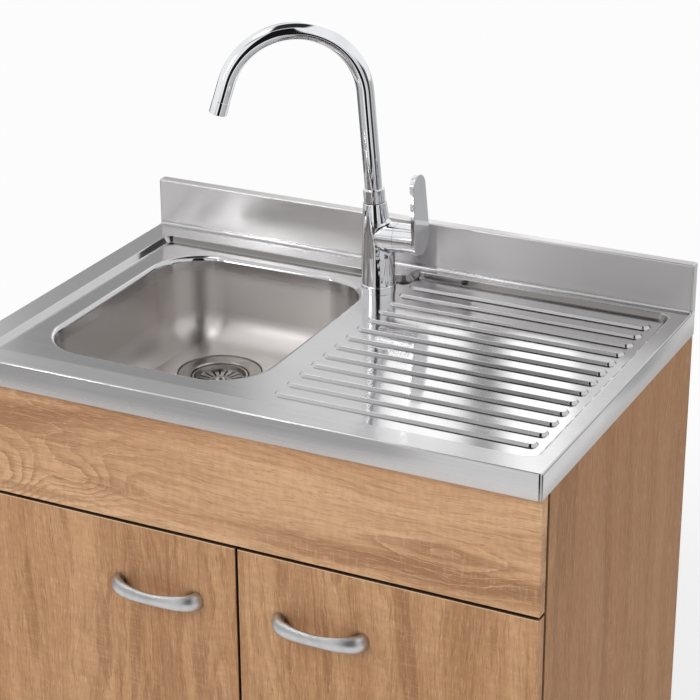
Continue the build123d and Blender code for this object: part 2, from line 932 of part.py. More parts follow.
def clip_plane(side, end):
    """The place of one sink clip: the side panel's inner face, below the rim's core."""
    along = {"front": at_front(clip_end_distance), "back": at_front(top_depth - clip_end_distance)}[end]
    return across_plane(side, side_inner, along, core_bottom)


def hinge_point(side, level, across, forward):
    """A place at a hinge: across from the side panel's outer face and forward of the cabinet's front edge."""
    sign = sides[side]
    return (sign * (side_outer - across), carcass_front - forward, level)


plate_screw_ups = [-plate_screw_pitch / 2, plate_screw_pitch / 2]
plate_screw_places = [
    (side, level + up) for side in sides for level in hinge_levels for up in plate_screw_ups
]
plate_screw_y = carcass_front + plate_screw_setback
clip_ends = ["front", "back"]


def side_panel(side):
    """A side panel with its toe notch, back groove and holes."""
    sign = sides[side]
    notch = carcass_front + plinth_setback
    outline = [
        (notch, glide_height),
        (carcass_back, glide_height),
        (carcass_back, rim_bottom),
        (carcass_front, rim_bottom),
        (carcass_front, plinth_height),
        (notch, plinth_height),
    ]
    groove_bottom = bottom_top - back_groove_depth
    groove_low = (sign * side_inner, back_board_front, groove_bottom)
    groove_high = (
        sign * (side_inner + back_groove_depth),
        back_board_front + back_board + groove_clearance,
        rim_bottom,
    )
    with BuildPart() as form:
        with BuildSketch(Plane.YZ.offset(sign * side_outer)):
            with BuildLine():
                Polyline(*outline, close=True)
            make_face()
        extrude(amount=-sign * board)
        add(block(groove_low, groove_high), mode=Mode.SUBTRACT)
        for name, places in dowel_places.items():
            for along, height in places:
                with BuildSketch(across_plane(side, side_inner, along, height)):
                    Circle(dowel_hole)
                extrude(amount=dowel_in_side + dowel_end_gap, mode=Mode.SUBTRACT)
        for screw_side, height in plate_screw_places:
            if screw_side == side:
                with BuildSketch(across_plane(side, side_inner, plate_screw_y, height)):
                    Circle(screw_hole)
                extrude(amount=screw_length - plate_metal + screw_end_gap, mode=Mode.SUBTRACT)
        for end in clip_ends:
            place = clip_plane(side, end).origin
            level = place.Z - clip_height + clip_screw_rise
            with BuildSketch(across_plane(side, side_inner, place.Y, level)):
                Circle(screw_hole)
            extrude(amount=screw_length - clip_metal + screw_end_gap, mode=Mode.SUBTRACT)
        for place in glide_places:
            if place[0] * sign > 0:
                with BuildSketch(Plane(origin=(place[0], place[1], glide_height))):
                    Circle(glide_nail_radius)
                extrude(amount=glide_nail_length, mode=Mode.SUBTRACT)
    return form.part


glide_places = [
    (sign * (side_outer - board / 2), along)
    for sign in sides.values()
    for along in (carcass_front + plinth_setback + glide_front_inset, carcass_back - glide_back_inset)
]
core_top = top_height - sheet
core_right = at_left(top_width - core_inset)
core_back = at_front(top_depth - core_inset)
core_opening = recess_face(core_bottom, sheet + core_clearance)
shelf_low = (at_left(top_width - core_shelf_width), at_front(recess_front), core_bottom)
shelf_back = at_front(top_depth - recess_back - tap_ledge_depth)
shelf_high = (core_right, shelf_back, core_bottom + core_shelf_height)
with BuildPart() as rim_core:
    add(block((at_left(core_inset), at_front(core_inset), core_bottom), (core_right, core_back, core_top)))
    add(extrude(core_opening, amount=core_top - core_bottom), mode=Mode.SUBTRACT)
    add(block(shelf_low, shelf_high))
    for side in sides:
        for end in clip_ends:
            place = clip_plane(side, end).origin
            with BuildSketch(Plane(origin=(place.X - sides[side] * clip_screw_reach, place.Y, core_bottom))):
                Circle(screw_hole)
            extrude(amount=screw_length - clip_metal + screw_end_gap, mode=Mode.SUBTRACT)
finish(rim_core, "rim_core")

for side in sides:
    with BuildPart() as side_board:
        add(side_panel(side))
    finish(side_board, f"side_panel_{side}")

with BuildPart() as floor_glides:
    for place_x, place_y in glide_places:
        with BuildSketch(Plane(origin=(place_x, place_y, 0))):
            Circle(glide_radius)
        extrude(amount=glide_height)
        with BuildSketch(Plane(origin=(place_x, place_y, glide_height))):
            Circle(glide_nail_radius)
        extrude(amount=glide_nail_length)
finish(floor_glides, "floor_glides")

groove_low = (-side_inner, back_board_front, bottom_top - back_groove_depth)
groove_high = (side_inner, back_board_front + back_board + groove_clearance, bottom_top)
with BuildPart() as bottom_panel:
    add(cross_board("bottom_panel", (carcass_front, carcass_back), (plinth_height, bottom_top)))
    add(block(groove_low, groove_high), mode=Mode.SUBTRACT)
finish(bottom_panel, "bottom_panel")

fascia_screw_levels = {
    "front_rail": fascia_top - fascia_fixing_drop,
    "cross_rail": fascia_bottom + fascia_fixing_rise,
}


def front_rail_board(name, heights):
    """A board behind the fixed front panel, with dowel holes and holes for that panel's screws."""
    with BuildPart() as form:
        add(cross_board(name, (carcass_front, carcass_front + board), heights))
        for sign in sides.values():
            level = fascia_screw_levels[name]
            with BuildSketch(facing_back(sign * fascia_fixing_across, carcass_front, level)):
                Circle(screw_hole)
            extrude(amount=board, mode=Mode.SUBTRACT)
    return form.part


with BuildPart() as front_rail:
    add(front_rail_board("front_rail", (rail_bottom, rim_bottom)))
finish(front_rail, "front_rail")

with BuildPart() as cross_rail:
    add(front_rail_board("cross_rail", (cross_rail_bottom, cross_rail_top)))
finish(cross_rail, "cross_rail")

with BuildPart() as back_rail:
    add(cross_board("back_rail", (back_rail_front, back_board_front), (rail_bottom, rim_bottom)))
finish(back_rail, "back_rail")

plinth_front = carcass_front + plinth_setback
with BuildPart() as plinth_board:
    add(cross_board("plinth_board", (plinth_front, plinth_front + board), (glide_height, plinth_height)))
finish(plinth_board, "plinth_board")

back_half_width = side_inner + back_groove_depth - groove_clearance
back_low = (-back_half_width, back_board_front, bottom_top - back_groove_depth + groove_clearance)
back_high = (back_half_width, back_board_front + back_board, rim_bottom - groove_clearance)
service_x = at_left(service_left + service_width / 2)
service_z = service_bottom + service_height / 2
with BuildPart() as back_panel:
    add(block(back_low, back_high))
    with BuildSketch(facing_back(service_x, back_board_front, service_z)):
        RectangleRounded(service_width, service_height, service_corner_radius)
    extrude(amount=back_board, mode=Mode.SUBTRACT)
finish(back_panel, "back_panel")

with BuildPart() as dowels:
    for name in dowel_places:
        for bar in dowel_rods(name, dowel_radius, dowel_start, dowel_end):
            add(bar)
finish(dowels, "dowels")

with BuildPart() as sink_clips:
    for side in sides:
        sign = sides[side]
        for end in clip_ends:
            place = clip_plane(side, end).origin
            inner = place.X - sign * clip_metal
            tip = place.X - sign * clip_reach
            near = place.Y - clip_width / 2
            far = place.Y + clip_width / 2
            add(block((place.X, near, place.Z - clip_height), (inner, far, place.Z)))
            add(block((place.X, near, place.Z - clip_metal), (tip, far, place.Z)))
            level = place.Z - clip_height + clip_screw_rise
            wall_hole = across_plane(side, side_inner - clip_metal, place.Y, level)
            add(rod(wall_hole, screw_hole, clip_metal), mode=Mode.SUBTRACT)
            shelf_hole = Plane(origin=(place.X - sign * clip_screw_reach, place.Y, place.Z - clip_metal))
            add(rod(shelf_hole, screw_hole, clip_metal), mode=Mode.SUBTRACT)
finish(sink_clips, "sink_clips")

with BuildPart() as small_screws:
    for side in sides:
        sign = sides[side]
        for end in clip_ends:
            place = clip_plane(side, end).origin
            level = place.Z - clip_height + clip_screw_rise
            beside = (place.X - sign * clip_metal, place.Y, level)
            add(Plane(origin=beside, x_dir=(0, 1, 0), z_dir=(-sign, 0, 0)) * small_screw)
            under = (place.X - sign * clip_screw_reach, place.Y, place.Z - clip_metal)
            add(Plane(origin=under, x_dir=(1, 0, 0), z_dir=(0, 0, -1)) * small_screw)
    for side, level in plate_screw_places:
        sign = sides[side]
        origin = (sign * (side_inner - plate_metal), plate_screw_y, level)
        add(Plane(origin=origin, x_dir=(0, 1, 0), z_dir=(-sign, 0, 0)) * small_screw)
finish(small_screws, "small_screws")

# ================================================================ fixed front panel, doors and handles


def front_panel(left, right, bottom, top):
    """A front board with softened edges on its outer face."""
    with BuildPart() as form:
        add(block((left, front_face, bottom), (right, front_back_face, top)))
        fillet(form.faces().sort_by(Axis.Y)[0].edges(), radius=front_edge_radius)
    return form.part


fascia_screw_depth = long_screw_length - board - front_gap + screw_end_gap
with BuildPart() as fascia_panel:
    add(front_panel(-front_outer, front_outer, fascia_bottom, fascia_top))
    for level in fascia_screw_levels.values():
        for sign in sides.values():
            with BuildSketch(facing(sign * fascia_fixing_across, front_back_face, level)):
                Circle(screw_hole)
            extrude(amount=fascia_screw_depth, mode=Mode.SUBTRACT)
finish(fascia_panel, "fascia_panel")

with BuildPart() as fascia_spacers:
    for level in fascia_screw_levels.values():
        for sign in sides.values():
            with BuildSketch(facing(sign * fascia_fixing_across, carcass_front, level)):
                Circle(spacer_radius)
                Circle(screw_hole, mode=Mode.SUBTRACT)
            extrude(amount=front_gap)
finish(fascia_spacers, "fascia_spacers")

with BuildPart() as fascia_screws:
    for level in fascia_screw_levels.values():
        for sign in sides.values():
            add(facing_back(sign * fascia_fixing_across, carcass_front + board, level) * long_screw)
finish(fascia_screws, "fascia_screws")

cup_across = reveal + cup_edge_distance
pivot_across = reveal + pivot_edge_distance
pivot_forward = front_gap + pivot_depth
cup_screw_across = cup_across + cup_screw_offset
cup_screw_levels = [
    level + up for level in hinge_levels for up in (-cup_screw_pitch / 2, cup_screw_pitch / 2)
]
cup_screw_depth = screw_length - cup_flange + screw_end_gap
handle_level = door_top - handle_drop
handle_screw_length = front_board + handle_screw_grip
handle_hole = handle_screw_radius + screw_clearance
buffer_levels = [door_top - door_buffer_top_drop, door_bottom + door_buffer_bottom_rise]


def handle_feet(side):
    """X of a handle's two screws."""
    middle = sides[side] * handle_centre_offset
    return [middle - handle_pitch / 2, middle + handle_pitch / 2]


def door_board(side):
    """A door with its hinge cup holes and the holes for its screws."""
    sign = sides[side]
    inner_edge = sign * door_gap / 2
    outer_edge = sign * front_outer
    with BuildPart() as form:
        add(front_panel(min(inner_edge, outer_edge), max(inner_edge, outer_edge), door_bottom, door_top))
        for level in hinge_levels:
            with BuildSketch(facing(*hinge_point(side, level, cup_across, front_gap))):
                Circle(cup_radius + cup_clearance)
            extrude(amount=cup_depth + cup_clearance, mode=Mode.SUBTRACT)
        for level in cup_screw_levels:
            with BuildSketch(facing(*hinge_point(side, level, cup_screw_across, front_gap))):
                Circle(screw_hole)
            extrude(amount=cup_screw_depth, mode=Mode.SUBTRACT)
        for place_x in handle_feet(side):
            with BuildSketch(facing(place_x, front_back_face, handle_level)):
                Circle(handle_hole)
            extrude(amount=front_board, mode=Mode.SUBTRACT)
    return form.part


def handle_bow(side):
    """A bow handle: oval sections along a bow from one foot to the other, flared towards the feet."""
    middle_x = sides[side] * handle_centre_offset
    half = handle_pitch / 2
    peak = handle_reach - handle_middle_thickness / 2
    with BuildPart() as form:
        for index in range(handle_section_count):
            turn = pi * index / (handle_section_count - 1)
            rise = abs(cos(turn)) ** handle_flare_power
            swell = cos(turn) ** 2
            height = handle_middle_height + (handle_foot_height - handle_middle_height) * rise
            thickness = handle_middle_thickness + (handle_foot_length - handle_middle_thickness) * swell
            middle = (middle_x - half * cos(turn), front_face - peak * sin(turn), handle_level)
            along = (half * sin(turn), -peak * cos(turn), 0)
            with BuildSketch(Plane(origin=middle, x_dir=(0, 0, 1), z_dir=along)):
                Ellipse(height / 2, thickness / 2)
        loft()
        for place_x in handle_feet(side):
            with BuildSketch(facing(place_x, front_face, handle_level)):
                Circle(handle_hole)
            extrude(amount=handle_screw_grip + screw_end_gap, mode=Mode.SUBTRACT)
    return form.part


handle_screw_form = screw_form(
    handle_screw_radius, handle_screw_length, handle_screw_head_radius, handle_screw_head_height
)
for side in sides:
    sign = sides[side]
    with BuildPart() as door:
        add(door_board(side))
    finish(door, f"door_{side}")

    with BuildPart() as handle:
        add(handle_bow(side))
    finish(handle, f"handle_{side}")

    with BuildPart() as handle_screws:
        for place_x in handle_feet(side):
            add(facing_back(place_x, front_back_face, handle_level) * handle_screw_form)
    finish(handle_screws, f"handle_screws_{side}")

    with BuildPart() as door_buffers:
        for level in buffer_levels:
            with BuildSketch(facing_back(sign * (door_gap / 2 + door_buffer_inset), front_back_face, level)):
                Circle(door_buffer_radius)
            extrude(amount=front_gap - door_buffer_clearance)
    finish(door_buffers, f"door_buffers_{side}")

# ================================================================ concealed hinges


def hinge_block(side, level, across, forward, up):
    """A box at a hinge between two distances across, forward and up."""
    return block(
        hinge_point(side, level + up[0], across[0], forward[0]),
        hinge_point(side, level + up[1], across[1], forward[1]),
    )


def hinge_plane(side, level, across, forward):
    """A plane at a hinge that is seen from above: X away from the cabinet's side, Y forward."""
    sign = sides[side]
    return Plane(origin=hinge_point(side, level, across, forward), x_dir=(-sign, 0, 0), z_dir=(0, 0, sign))


def hinge_cup(side, level):
    """A hinge cup with its screw flange and the two ears that hold the pin."""
    floor = front_gap + cup_depth - cup_wall
    flange_face = front_gap - cup_flange
    ear_across = (cup_across - cup_radius, pivot_across + ear_reach)
    ear_forward = (pivot_forward - ear_reach, floor)
    with BuildPart() as cavity:
        mouth = facing(*hinge_point(side, level, cup_across, flange_face))
        add(rod(mouth, cup_radius - cup_wall, floor - flange_face))
        for sign in (-1, 1):
            up = (sign * ear_inner_height, sign * (ear_inner_height + ear_height))
            add(hinge_block(side, level, ear_across, ear_forward, up), mode=Mode.SUBTRACT)
    with BuildPart() as form:
        add(rod(facing(*hinge_point(side, level, cup_across, front_gap)), cup_radius, cup_depth))
        with BuildSketch(facing(*hinge_point(side, level, cup_across, flange_face))):
            Circle(cup_flange_radius)
        extrude(amount=cup_flange)
        with BuildSketch(facing(*hinge_point(side, level, cup_screw_across, flange_face))):
            RectangleRounded(cup_wing_width, cup_wing_span, cup_wing_radius)
        extrude(amount=cup_flange)
        add(cavity.part, mode=Mode.SUBTRACT)
        for up in (-cup_screw_pitch / 2, cup_screw_pitch / 2):
            with BuildSketch(facing(*hinge_point(side, level + up, cup_screw_across, flange_face))):
                Circle(screw_hole)
            extrude(amount=cup_flange, mode=Mode.SUBTRACT)
        with BuildSketch(hinge_plane(side, level, pivot_across, pivot_forward)):
            Circle(hinge_pin_radius)
        extrude(amount=hinge_pin_length / 2, both=True, mode=Mode.SUBTRACT)
    return form.part


leg_near = board + arm_leg_distance
leg_far = leg_near + arm_metal


def hinge_arm(side, level):
    """A hinge arm: the eye on the pin, the bar round the side panel's edge, and the channel on its plate."""
    bar_inner = pivot_forward - arm_metal / 2
    bar_outer = pivot_forward + arm_metal / 2
    strap = [
        (pivot_across, bar_inner),
        (leg_near, bar_inner),
        (leg_near, -arm_channel_start),
        (leg_far, -arm_channel_start),
        (leg_far, bar_outer - arm_corner),
        (leg_far - arm_corner, bar_outer),
        (pivot_across, bar_outer),
    ]
    half_channel = arm_channel_width / 2
    run = (-arm_channel_end, -arm_channel_start)
    with BuildPart() as form:
        with BuildSketch(hinge_plane(side, level, 0, 0)):
            with BuildLine():
                Polyline(*strap, close=True)
            make_face()
            with Locations((pivot_across, pivot_forward)):
                Circle(eye_radius)
                Circle(hinge_pin_radius + running_clearance, mode=Mode.SUBTRACT)
        extrude(amount=arm_height / 2, both=True)
        add(hinge_block(side, level, (leg_near, leg_far), run, (-half_channel, half_channel)))
        for sign in (-1, 1):
            up = (sign * half_channel, sign * (half_channel - arm_channel_wall))
            add(hinge_block(side, level, (board + plate_metal, leg_near), run, up))
    return form.part


def hinge_plate(side, level):
    """A mounting plate on the side panel, with the ridge that the arm's channel sits over."""
    low_run = -plate_end
    high_run = -plate_start
    face = board + plate_metal
    wing_run = (-plate_screw_setback - plate_wing_width / 2, -plate_screw_setback + plate_wing_width / 2)
    half_wing = plate_wing_span / 2
    half_plate = plate_width / 2
    half_ridge = plate_ridge_width / 2
    ridge_run = (low_run + plate_ridge_inset, high_run - plate_ridge_inset)
    with BuildPart() as form:
        add(hinge_block(side, level, (board, face), (low_run, high_run), (-half_plate, half_plate)))
        add(hinge_block(side, level, (board, face), wing_run, (-half_wing, half_wing)))
        add(hinge_block(side, level, (face, leg_near), ridge_run, (-half_ridge, half_ridge)))
        for up in plate_screw_ups:
            with BuildSketch(across_plane(side, side_inner - plate_metal, plate_screw_y, level + up)):
                Circle(screw_hole)
            extrude(amount=plate_metal, mode=Mode.SUBTRACT)
    return form.part


with BuildPart() as hinge_arms:
    for side in sides:
        for level in hinge_levels:
            add(hinge_arm(side, level))
finish(hinge_arms, "hinge_arms")

with BuildPart() as hinge_plates:
    for side in sides:
        for level in hinge_levels:
            add(hinge_plate(side, level))
finish(hinge_plates, "hinge_plates")

for side in sides:
    with BuildPart() as hinge_cups:
        for level in hinge_levels:
            add(hinge_cup(side, level))
    finish(hinge_cups, f"hinge_cups_{side}")

    with BuildPart() as hinge_pins:
        for level in hinge_levels:
            foot = hinge_point(side, level - hinge_pin_length / 2, pivot_across, pivot_forward)
            with BuildSketch(Plane(origin=foot)):
                Circle(hinge_pin_radius)
            extrude(amount=hinge_pin_length)
    finish(hinge_pins, f"hinge_pins_{side}")

    with BuildPart() as cup_screws:
        for level in cup_screw_levels:
            place = hinge_point(side, level, cup_screw_across, front_gap - cup_flange)
            add(facing_back(*place) * small_screw)
    finish(cup_screws, f"cup_screws_{side}")

# ================================================================ tap


def direction(azimuth, rise):
    """A unit vector, from its turn about +Z away from +X and its rise above the floor."""
    flat = cos(radians(rise))
    return Vector(flat * cos(radians(azimuth)), flat * sin(radians(azimuth)), sin(radians(rise)))


tap_foot = Vector(tap_x, tap_y, recess_floor)
away_from_branch = direction(branch_azimuth + 180, 0)
tap_axis = Plane(origin=tap_foot, x_dir=away_from_branch, z_dir=(0, 0, 1))
neck_direction = direction(neck_azimuth, 90 - neck_tilt)
neck_axis = Plane(origin=tap_foot + Vector(0, 0, neck_height), x_dir=away_from_branch, z_dir=neck_direction)
branch_direction = direction(branch_azimuth, branch_elevation)
branch_side = direction(branch_azimuth + 90, 0)
branch_axis = Plane(origin=tap_foot + Vector(0, 0, branch_height), x_dir=branch_side, z_dir=branch_direction)


def below_tap(across, along, height):
    """A flat plane near the tap: to the right of and behind its axis, at a height above the floor."""
    return Plane(origin=(tap_x + across, tap_y + along, height))


def branch_rod(radius, start, end):
    """A round bar along the branch between two distances from the body's axis."""
    return rod(branch_axis.offset(start), radius, end - start)


def branch_block(half_width, up, along):
    """A box in the branch's own directions: across its middle, and between distances up and along it."""
    with BuildPart() as form:
        with BuildSketch(branch_axis.offset(along[0])):
            with Locations((0, (up[0] + up[1]) / 2)):
                Rectangle(2 * half_width, up[1] - up[0])
        extrude(amount=along[1] - along[0])
    return form.part


def branch_section(along, up):
    """A plane that cuts the branch lengthwise: X along the branch, Y up, from a place on its middle plane."""
    origin = branch_axis.origin + branch_direction * along + branch_axis.y_dir * up
    return Plane(origin=origin, x_dir=branch_direction, z_dir=branch_axis.x_dir * -1)


def on_branch_surface(edge):
    """Whether the middle of an edge lies on the branch's round surface."""
    away = edge @ 0.5 - branch_axis.origin
    distance = (away - branch_direction * away.dot(branch_direction)).length
    return abs(distance - branch_radius) < surface_tolerance


body_bottom = recess_floor + tap_base_height
cartridge_end = cartridge_start + cartridge_length
journal_start = neck_length + collar_gap - journal_length
bore_start = journal_start - journal_end_gap
inlet_places = [(inlet_across, -inlet_apart / 2), (inlet_across, inlet_apart / 2)]

with BuildPart() as tap_base_ring:
    with BuildSketch(tap_axis):
        Circle(tap_base_radius)
        Circle(tap_base_bore, mode=Mode.SUBTRACT)
    extrude(amount=tap_base_height)
    fillet(tap_base_ring.edges().group_by(Axis.Z)[-1].sort_by(SortBy.RADIUS)[-1], radius=tap_base_edge_radius)
finish(tap_base_ring, "tap_base_ring")

with BuildPart() as tap_body:
    with BuildSketch(tap_axis.offset(tap_base_height)):
        Circle(tap_body_radius)
    extrude(amount=tap_shoulder_height - tap_base_height)
    with BuildSketch(tap_axis.offset(tap_shoulder_height)):
        Circle(tap_body_radius)
    with BuildSketch(neck_axis.offset(neck_length)):
        Circle(neck_radius)
    loft()
    chamfer(tap_body.edges().group_by(Axis.Z)[0], length=tap_seam_chamfer)
    fillet(tap_body.edges().filter_by(GeomType.CIRCLE).group_by(Axis.Z)[-1], radius=neck_edge_radius)
    add(branch_rod(branch_radius, 0, branch_length))
    branch_foot = tap_body.edges().filter_by(GeomType.BSPLINE).filter_by(on_branch_surface)
    fillet(branch_foot, radius=branch_blend_radius)
    journal_bore = rod(neck_axis.offset(bore_start), journal_radius + running_clearance, neck_length)
    add(journal_bore, mode=Mode.SUBTRACT)
    add(rod(neck_axis, waterway_radius, neck_length), mode=Mode.SUBTRACT)
    add(branch_rod(cartridge_radius, cartridge_bore_start, branch_length), mode=Mode.SUBTRACT)
    for across, along in inlet_places:
        add(rod(below_tap(across, along, body_bottom), inlet_radius, inlet_depth), mode=Mode.SUBTRACT)
        add(rod(below_tap(across, along, body_bottom), passage_radius, passage_height), mode=Mode.SUBTRACT)
    add(rod(below_tap(stud_across, 0, body_bottom), stud_radius, stud_grip), mode=Mode.SUBTRACT)
finish(tap_body, "tap_body")

with BuildPart() as cartridge:
    add(branch_rod(cartridge_radius, cartridge_start, cartridge_end))
    stem_bore = stem_radius + running_clearance
    add(branch_rod(stem_bore, stem_start - stem_end_gap, cartridge_end), mode=Mode.SUBTRACT)
finish(cartridge, "cartridge")

with BuildPart() as lock_ring:
    add(branch_rod(cartridge_radius, cartridge_end, branch_length))
    add(branch_rod(lock_ring_spigot, branch_length, branch_length + lock_ring_reach))
    add(branch_rod(lock_ring_bore, cartridge_end, branch_length + lock_ring_reach), mode=Mode.SUBTRACT)
finish(lock_ring, "lock_ring")

with BuildPart() as cartridge_stem:
    add(branch_rod(stem_radius, stem_start, stem_start + stem_length))
finish(cartridge_stem, "cartridge_stem")

hub_start = branch_length + lever_gap
hub_bore = lock_ring_spigot + running_clearance
hub_inside_end = hub_end - hub_cap
hub_points = [
    (hub_bore, hub_start),
    (branch_radius, hub_start),
    (branch_radius, hub_end),
    (0, hub_end),
    (0, hub_boss_start),
    (hub_boss_radius, hub_boss_start),
    (hub_boss_radius, hub_inside_end),
    (hub_bore, hub_inside_end),
]
lever_face = hub_end + lever_gap
pin_plane = branch_section(lever_pin_place, -lever_pin_drop)
slot_reach = lever_lug_radius + 2 * lever_lug_clearance
relief = lever_face - lever_pin_place - lever_lug_clearance
relief_end = (relief - branch_radius * sin(radians(lever_relief_angle))) / cos(radians(lever_relief_angle))
relief_points = [
    (relief / cos(radians(lever_relief_angle)), 0),
    (relief_end, -branch_radius),
    (branch_radius, -branch_radius),
    (branch_radius, 0),
]
with BuildPart() as lever_hub:
    add(turned(branch_axis, hub_points))
    add(branch_block(hub_foot_half_width, (-hub_foot_bottom, -hub_foot_top), (hub_foot_start, hub_end)))
    add(branch_rod(stem_radius, hub_boss_start, stem_start + stem_length), mode=Mode.SUBTRACT)
    slot_up = (-2 * branch_radius, slot_reach - lever_pin_drop)
    slot_along = (lever_pin_place - slot_reach, hub_end)
    add(branch_block(lever_lug_width / 2 + lever_lug_clearance, slot_up, slot_along), mode=Mode.SUBTRACT)
    add(rod(pin_plane.offset(-lever_pin_length / 2), lever_pin_radius, lever_pin_length), mode=Mode.SUBTRACT)
    with BuildSketch(pin_plane):
        with BuildLine():
            Polyline(*relief_points, close=True)
        make_face()
    extrude(amount=branch_radius, both=True, mode=Mode.SUBTRACT)
finish(lever_hub, "lever_hub")

with BuildPart() as lever_pin:
    add(rod(pin_plane.offset(-lever_pin_length / 2), lever_pin_radius, lever_pin_length))
finish(lever_pin, "lever_pin")

half_lever = lever_width / 2
half_tip = lever_tip_width / 2
tip_start = lever_reach - half_tip
bevel_run = lever_bevel_start + lever_foot_drop
bevel_points = [
    (0, 0),
    (-2 * lever_bevel_depth, -2 * bevel_run),
    (lever_bevel_depth, -2 * bevel_run),
    (lever_bevel_depth, 0),
]
with BuildPart() as lever_blade:
    with BuildSketch(branch_axis.offset(lever_face)):
        with BuildLine():
            ThreePointArc((-half_lever, 0), (0, -lever_foot_drop), (half_lever, 0))
            Line((half_lever, 0), (half_tip, tip_start))
            ThreePointArc((half_tip, tip_start), (0, lever_reach), (-half_tip, tip_start))
            Line((-half_tip, tip_start), (-half_lever, 0))
        make_face()
    extrude(amount=lever_thickness)
    with BuildSketch(branch_section(lever_face + lever_thickness, lever_bevel_start)):
        with BuildLine():
            Polyline(*bevel_points, close=True)
        make_face()
    extrude(amount=lever_width, both=True, mode=Mode.SUBTRACT)
    outward = Axis(branch_axis.origin, branch_direction)
    lower_face, upper_face = lever_blade.faces().sort_by(outward)[-2:]
    crease = [edge for edge in lower_face.edges() if any(edge.is_same(other) for other in upper_face.edges())]
    outer_edges = [*lower_face.edges(), *upper_face.edges()]
    outline = [edge for edge in outer_edges if not edge.is_same(crease[0])]
    fillet(outline, radius=lever_edge_radius)
    with BuildSketch(pin_plane):
        Circle(lever_lug_radius)
        with Locations(((lever_face - lever_pin_place) / 2, 0)):
            Rectangle(lever_face - lever_pin_place, 2 * lever_lug_radius)
    extrude(amount=lever_lug_width / 2, both=True)
    with BuildSketch(pin_plane):
        Circle(lever_pin_radius + running_clearance)
    extrude(amount=lever_lug_width, both=True, mode=Mode.SUBTRACT)
finish(lever_blade, "lever_blade")

collar_start = neck_length + collar_gap
collar_end = collar_start + collar_length
tube_start = collar_start + collar_floor
collar_points = [
    (collar_bore, journal_start),
    (journal_radius, journal_start),
    (journal_radius, collar_start),
    (collar_radius - collar_bevel, collar_start),
    (collar_radius, collar_start + collar_bevel),
    (collar_radius, collar_end - collar_bevel),
    (collar_radius - collar_bevel, collar_end),
    (spout_radius, collar_end),
    (spout_radius, tube_start),
    (collar_bore, tube_start),
]
with BuildPart() as spout_collar:
    add(turned(neck_axis, collar_points))
finish(spout_collar, "spout_collar")

bend_plane = Plane(
    origin=neck_axis.origin, x_dir=direction(neck_azimuth, 0), z_dir=direction(neck_azimuth - 90, 0)
)
lean = Vector(sin(radians(neck_tilt)), cos(radians(neck_tilt)))
with BuildLine() as route:
    bend_start = lean * spout_rise
    Line(lean * tube_start, bend_start)
    bend = JernArc(start=bend_start, tangent=lean, radius=spout_bend_radius, arc_size=-spout_bend_angle)
    Line(bend @ 1, bend @ 1 + (bend % 1) * spout_tail)
spout_path = bend_plane * route.line
spout_start = Plane(origin=spout_path @ 0, x_dir=bend_plane.z_dir, z_dir=neck_direction)
spout_end = Plane(origin=spout_path @ 1, x_dir=bend_plane.z_dir, z_dir=spout_path % 1)
with BuildPart() as spout:
    with BuildSketch(spout_start):
        Circle(spout_radius)
        Circle(spout_radius - spout_wall, mode=Mode.SUBTRACT)
    sweep(path=spout_path)
finish(spout, "spout")

aerator_points = [
    (aerator_bore, 0),
    (aerator_radius - aerator_bevel, 0),
    (aerator_radius, aerator_bevel),
    (aerator_radius, aerator_length - aerator_bevel),
    (aerator_radius - aerator_bevel, aerator_length),
    (aerator_bore, aerator_length),
]
grid_start = aerator_length - aerator_grid_inset - aerator_grid_thickness
with BuildPart() as aerator:
    add(turned(spout_end, aerator_points))
    with BuildSketch(spout_end.offset(grid_start)):
        Circle(aerator_bore)
        Circle(aerator_hole_radius, mode=Mode.SUBTRACT)
        for ring in range(1, aerator_ring_count + 1):
            with PolarLocations(ring * aerator_ring_pitch, ring * aerator_ring_holes):
                Circle(aerator_hole_radius, mode=Mode.SUBTRACT)
    extrude(amount=aerator_grid_thickness)
finish(aerator, "aerator")

sheet_underside = recess_floor - sheet
stud_top = body_bottom + stud_grip
with BuildPart() as tap_stud:
    add(rod(below_tap(stud_across, 0, stud_top - stud_length), stud_radius, stud_length))
finish(tap_stud, "tap_stud")


def clamp_disc(top):
    """A horseshoe disc under the tap that leaves room for its two hoses, hung below a height."""
    with BuildPart() as form:
        with BuildSketch(below_tap(0, 0, top)):
            Circle(clamp_radius)
            with Locations((clamp_slot_start + clamp_radius, 0)):
                Rectangle(2 * clamp_radius, clamp_slot_width, mode=Mode.SUBTRACT)
            with Locations((stud_across, 0)):
                Circle(stud_radius + stud_clearance, mode=Mode.SUBTRACT)
        extrude(amount=-clamp_thickness)
    return form.part


with BuildPart() as clamp_rubber:
    add(clamp_disc(sheet_underside))
finish(clamp_rubber, "clamp_rubber")

with BuildPart() as clamp_plate:
    add(clamp_disc(sheet_underside - clamp_thickness))
finish(clamp_plate, "clamp_plate")

with BuildPart() as stud_nut:
    with BuildSketch(below_tap(stud_across, 0, sheet_underside - 2 * clamp_thickness)):
        RegularPolygon(clamp_nut_radius, clamp_nut_sides)
        Circle(stud_radius, mode=Mode.SUBTRACT)
    extrude(amount=-clamp_nut_height)
finish(stud_nut, "stud_nut")
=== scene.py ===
"""The kitchen sink unit's look: finishes for its CAD nodes, a white studio and the photo's camera.

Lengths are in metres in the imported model's frame: X to the right, Y to the back and Z up. Angles
are in degrees until they are used.
"""

import math

import bpy
from mathutils import Euler, Matrix, Vector


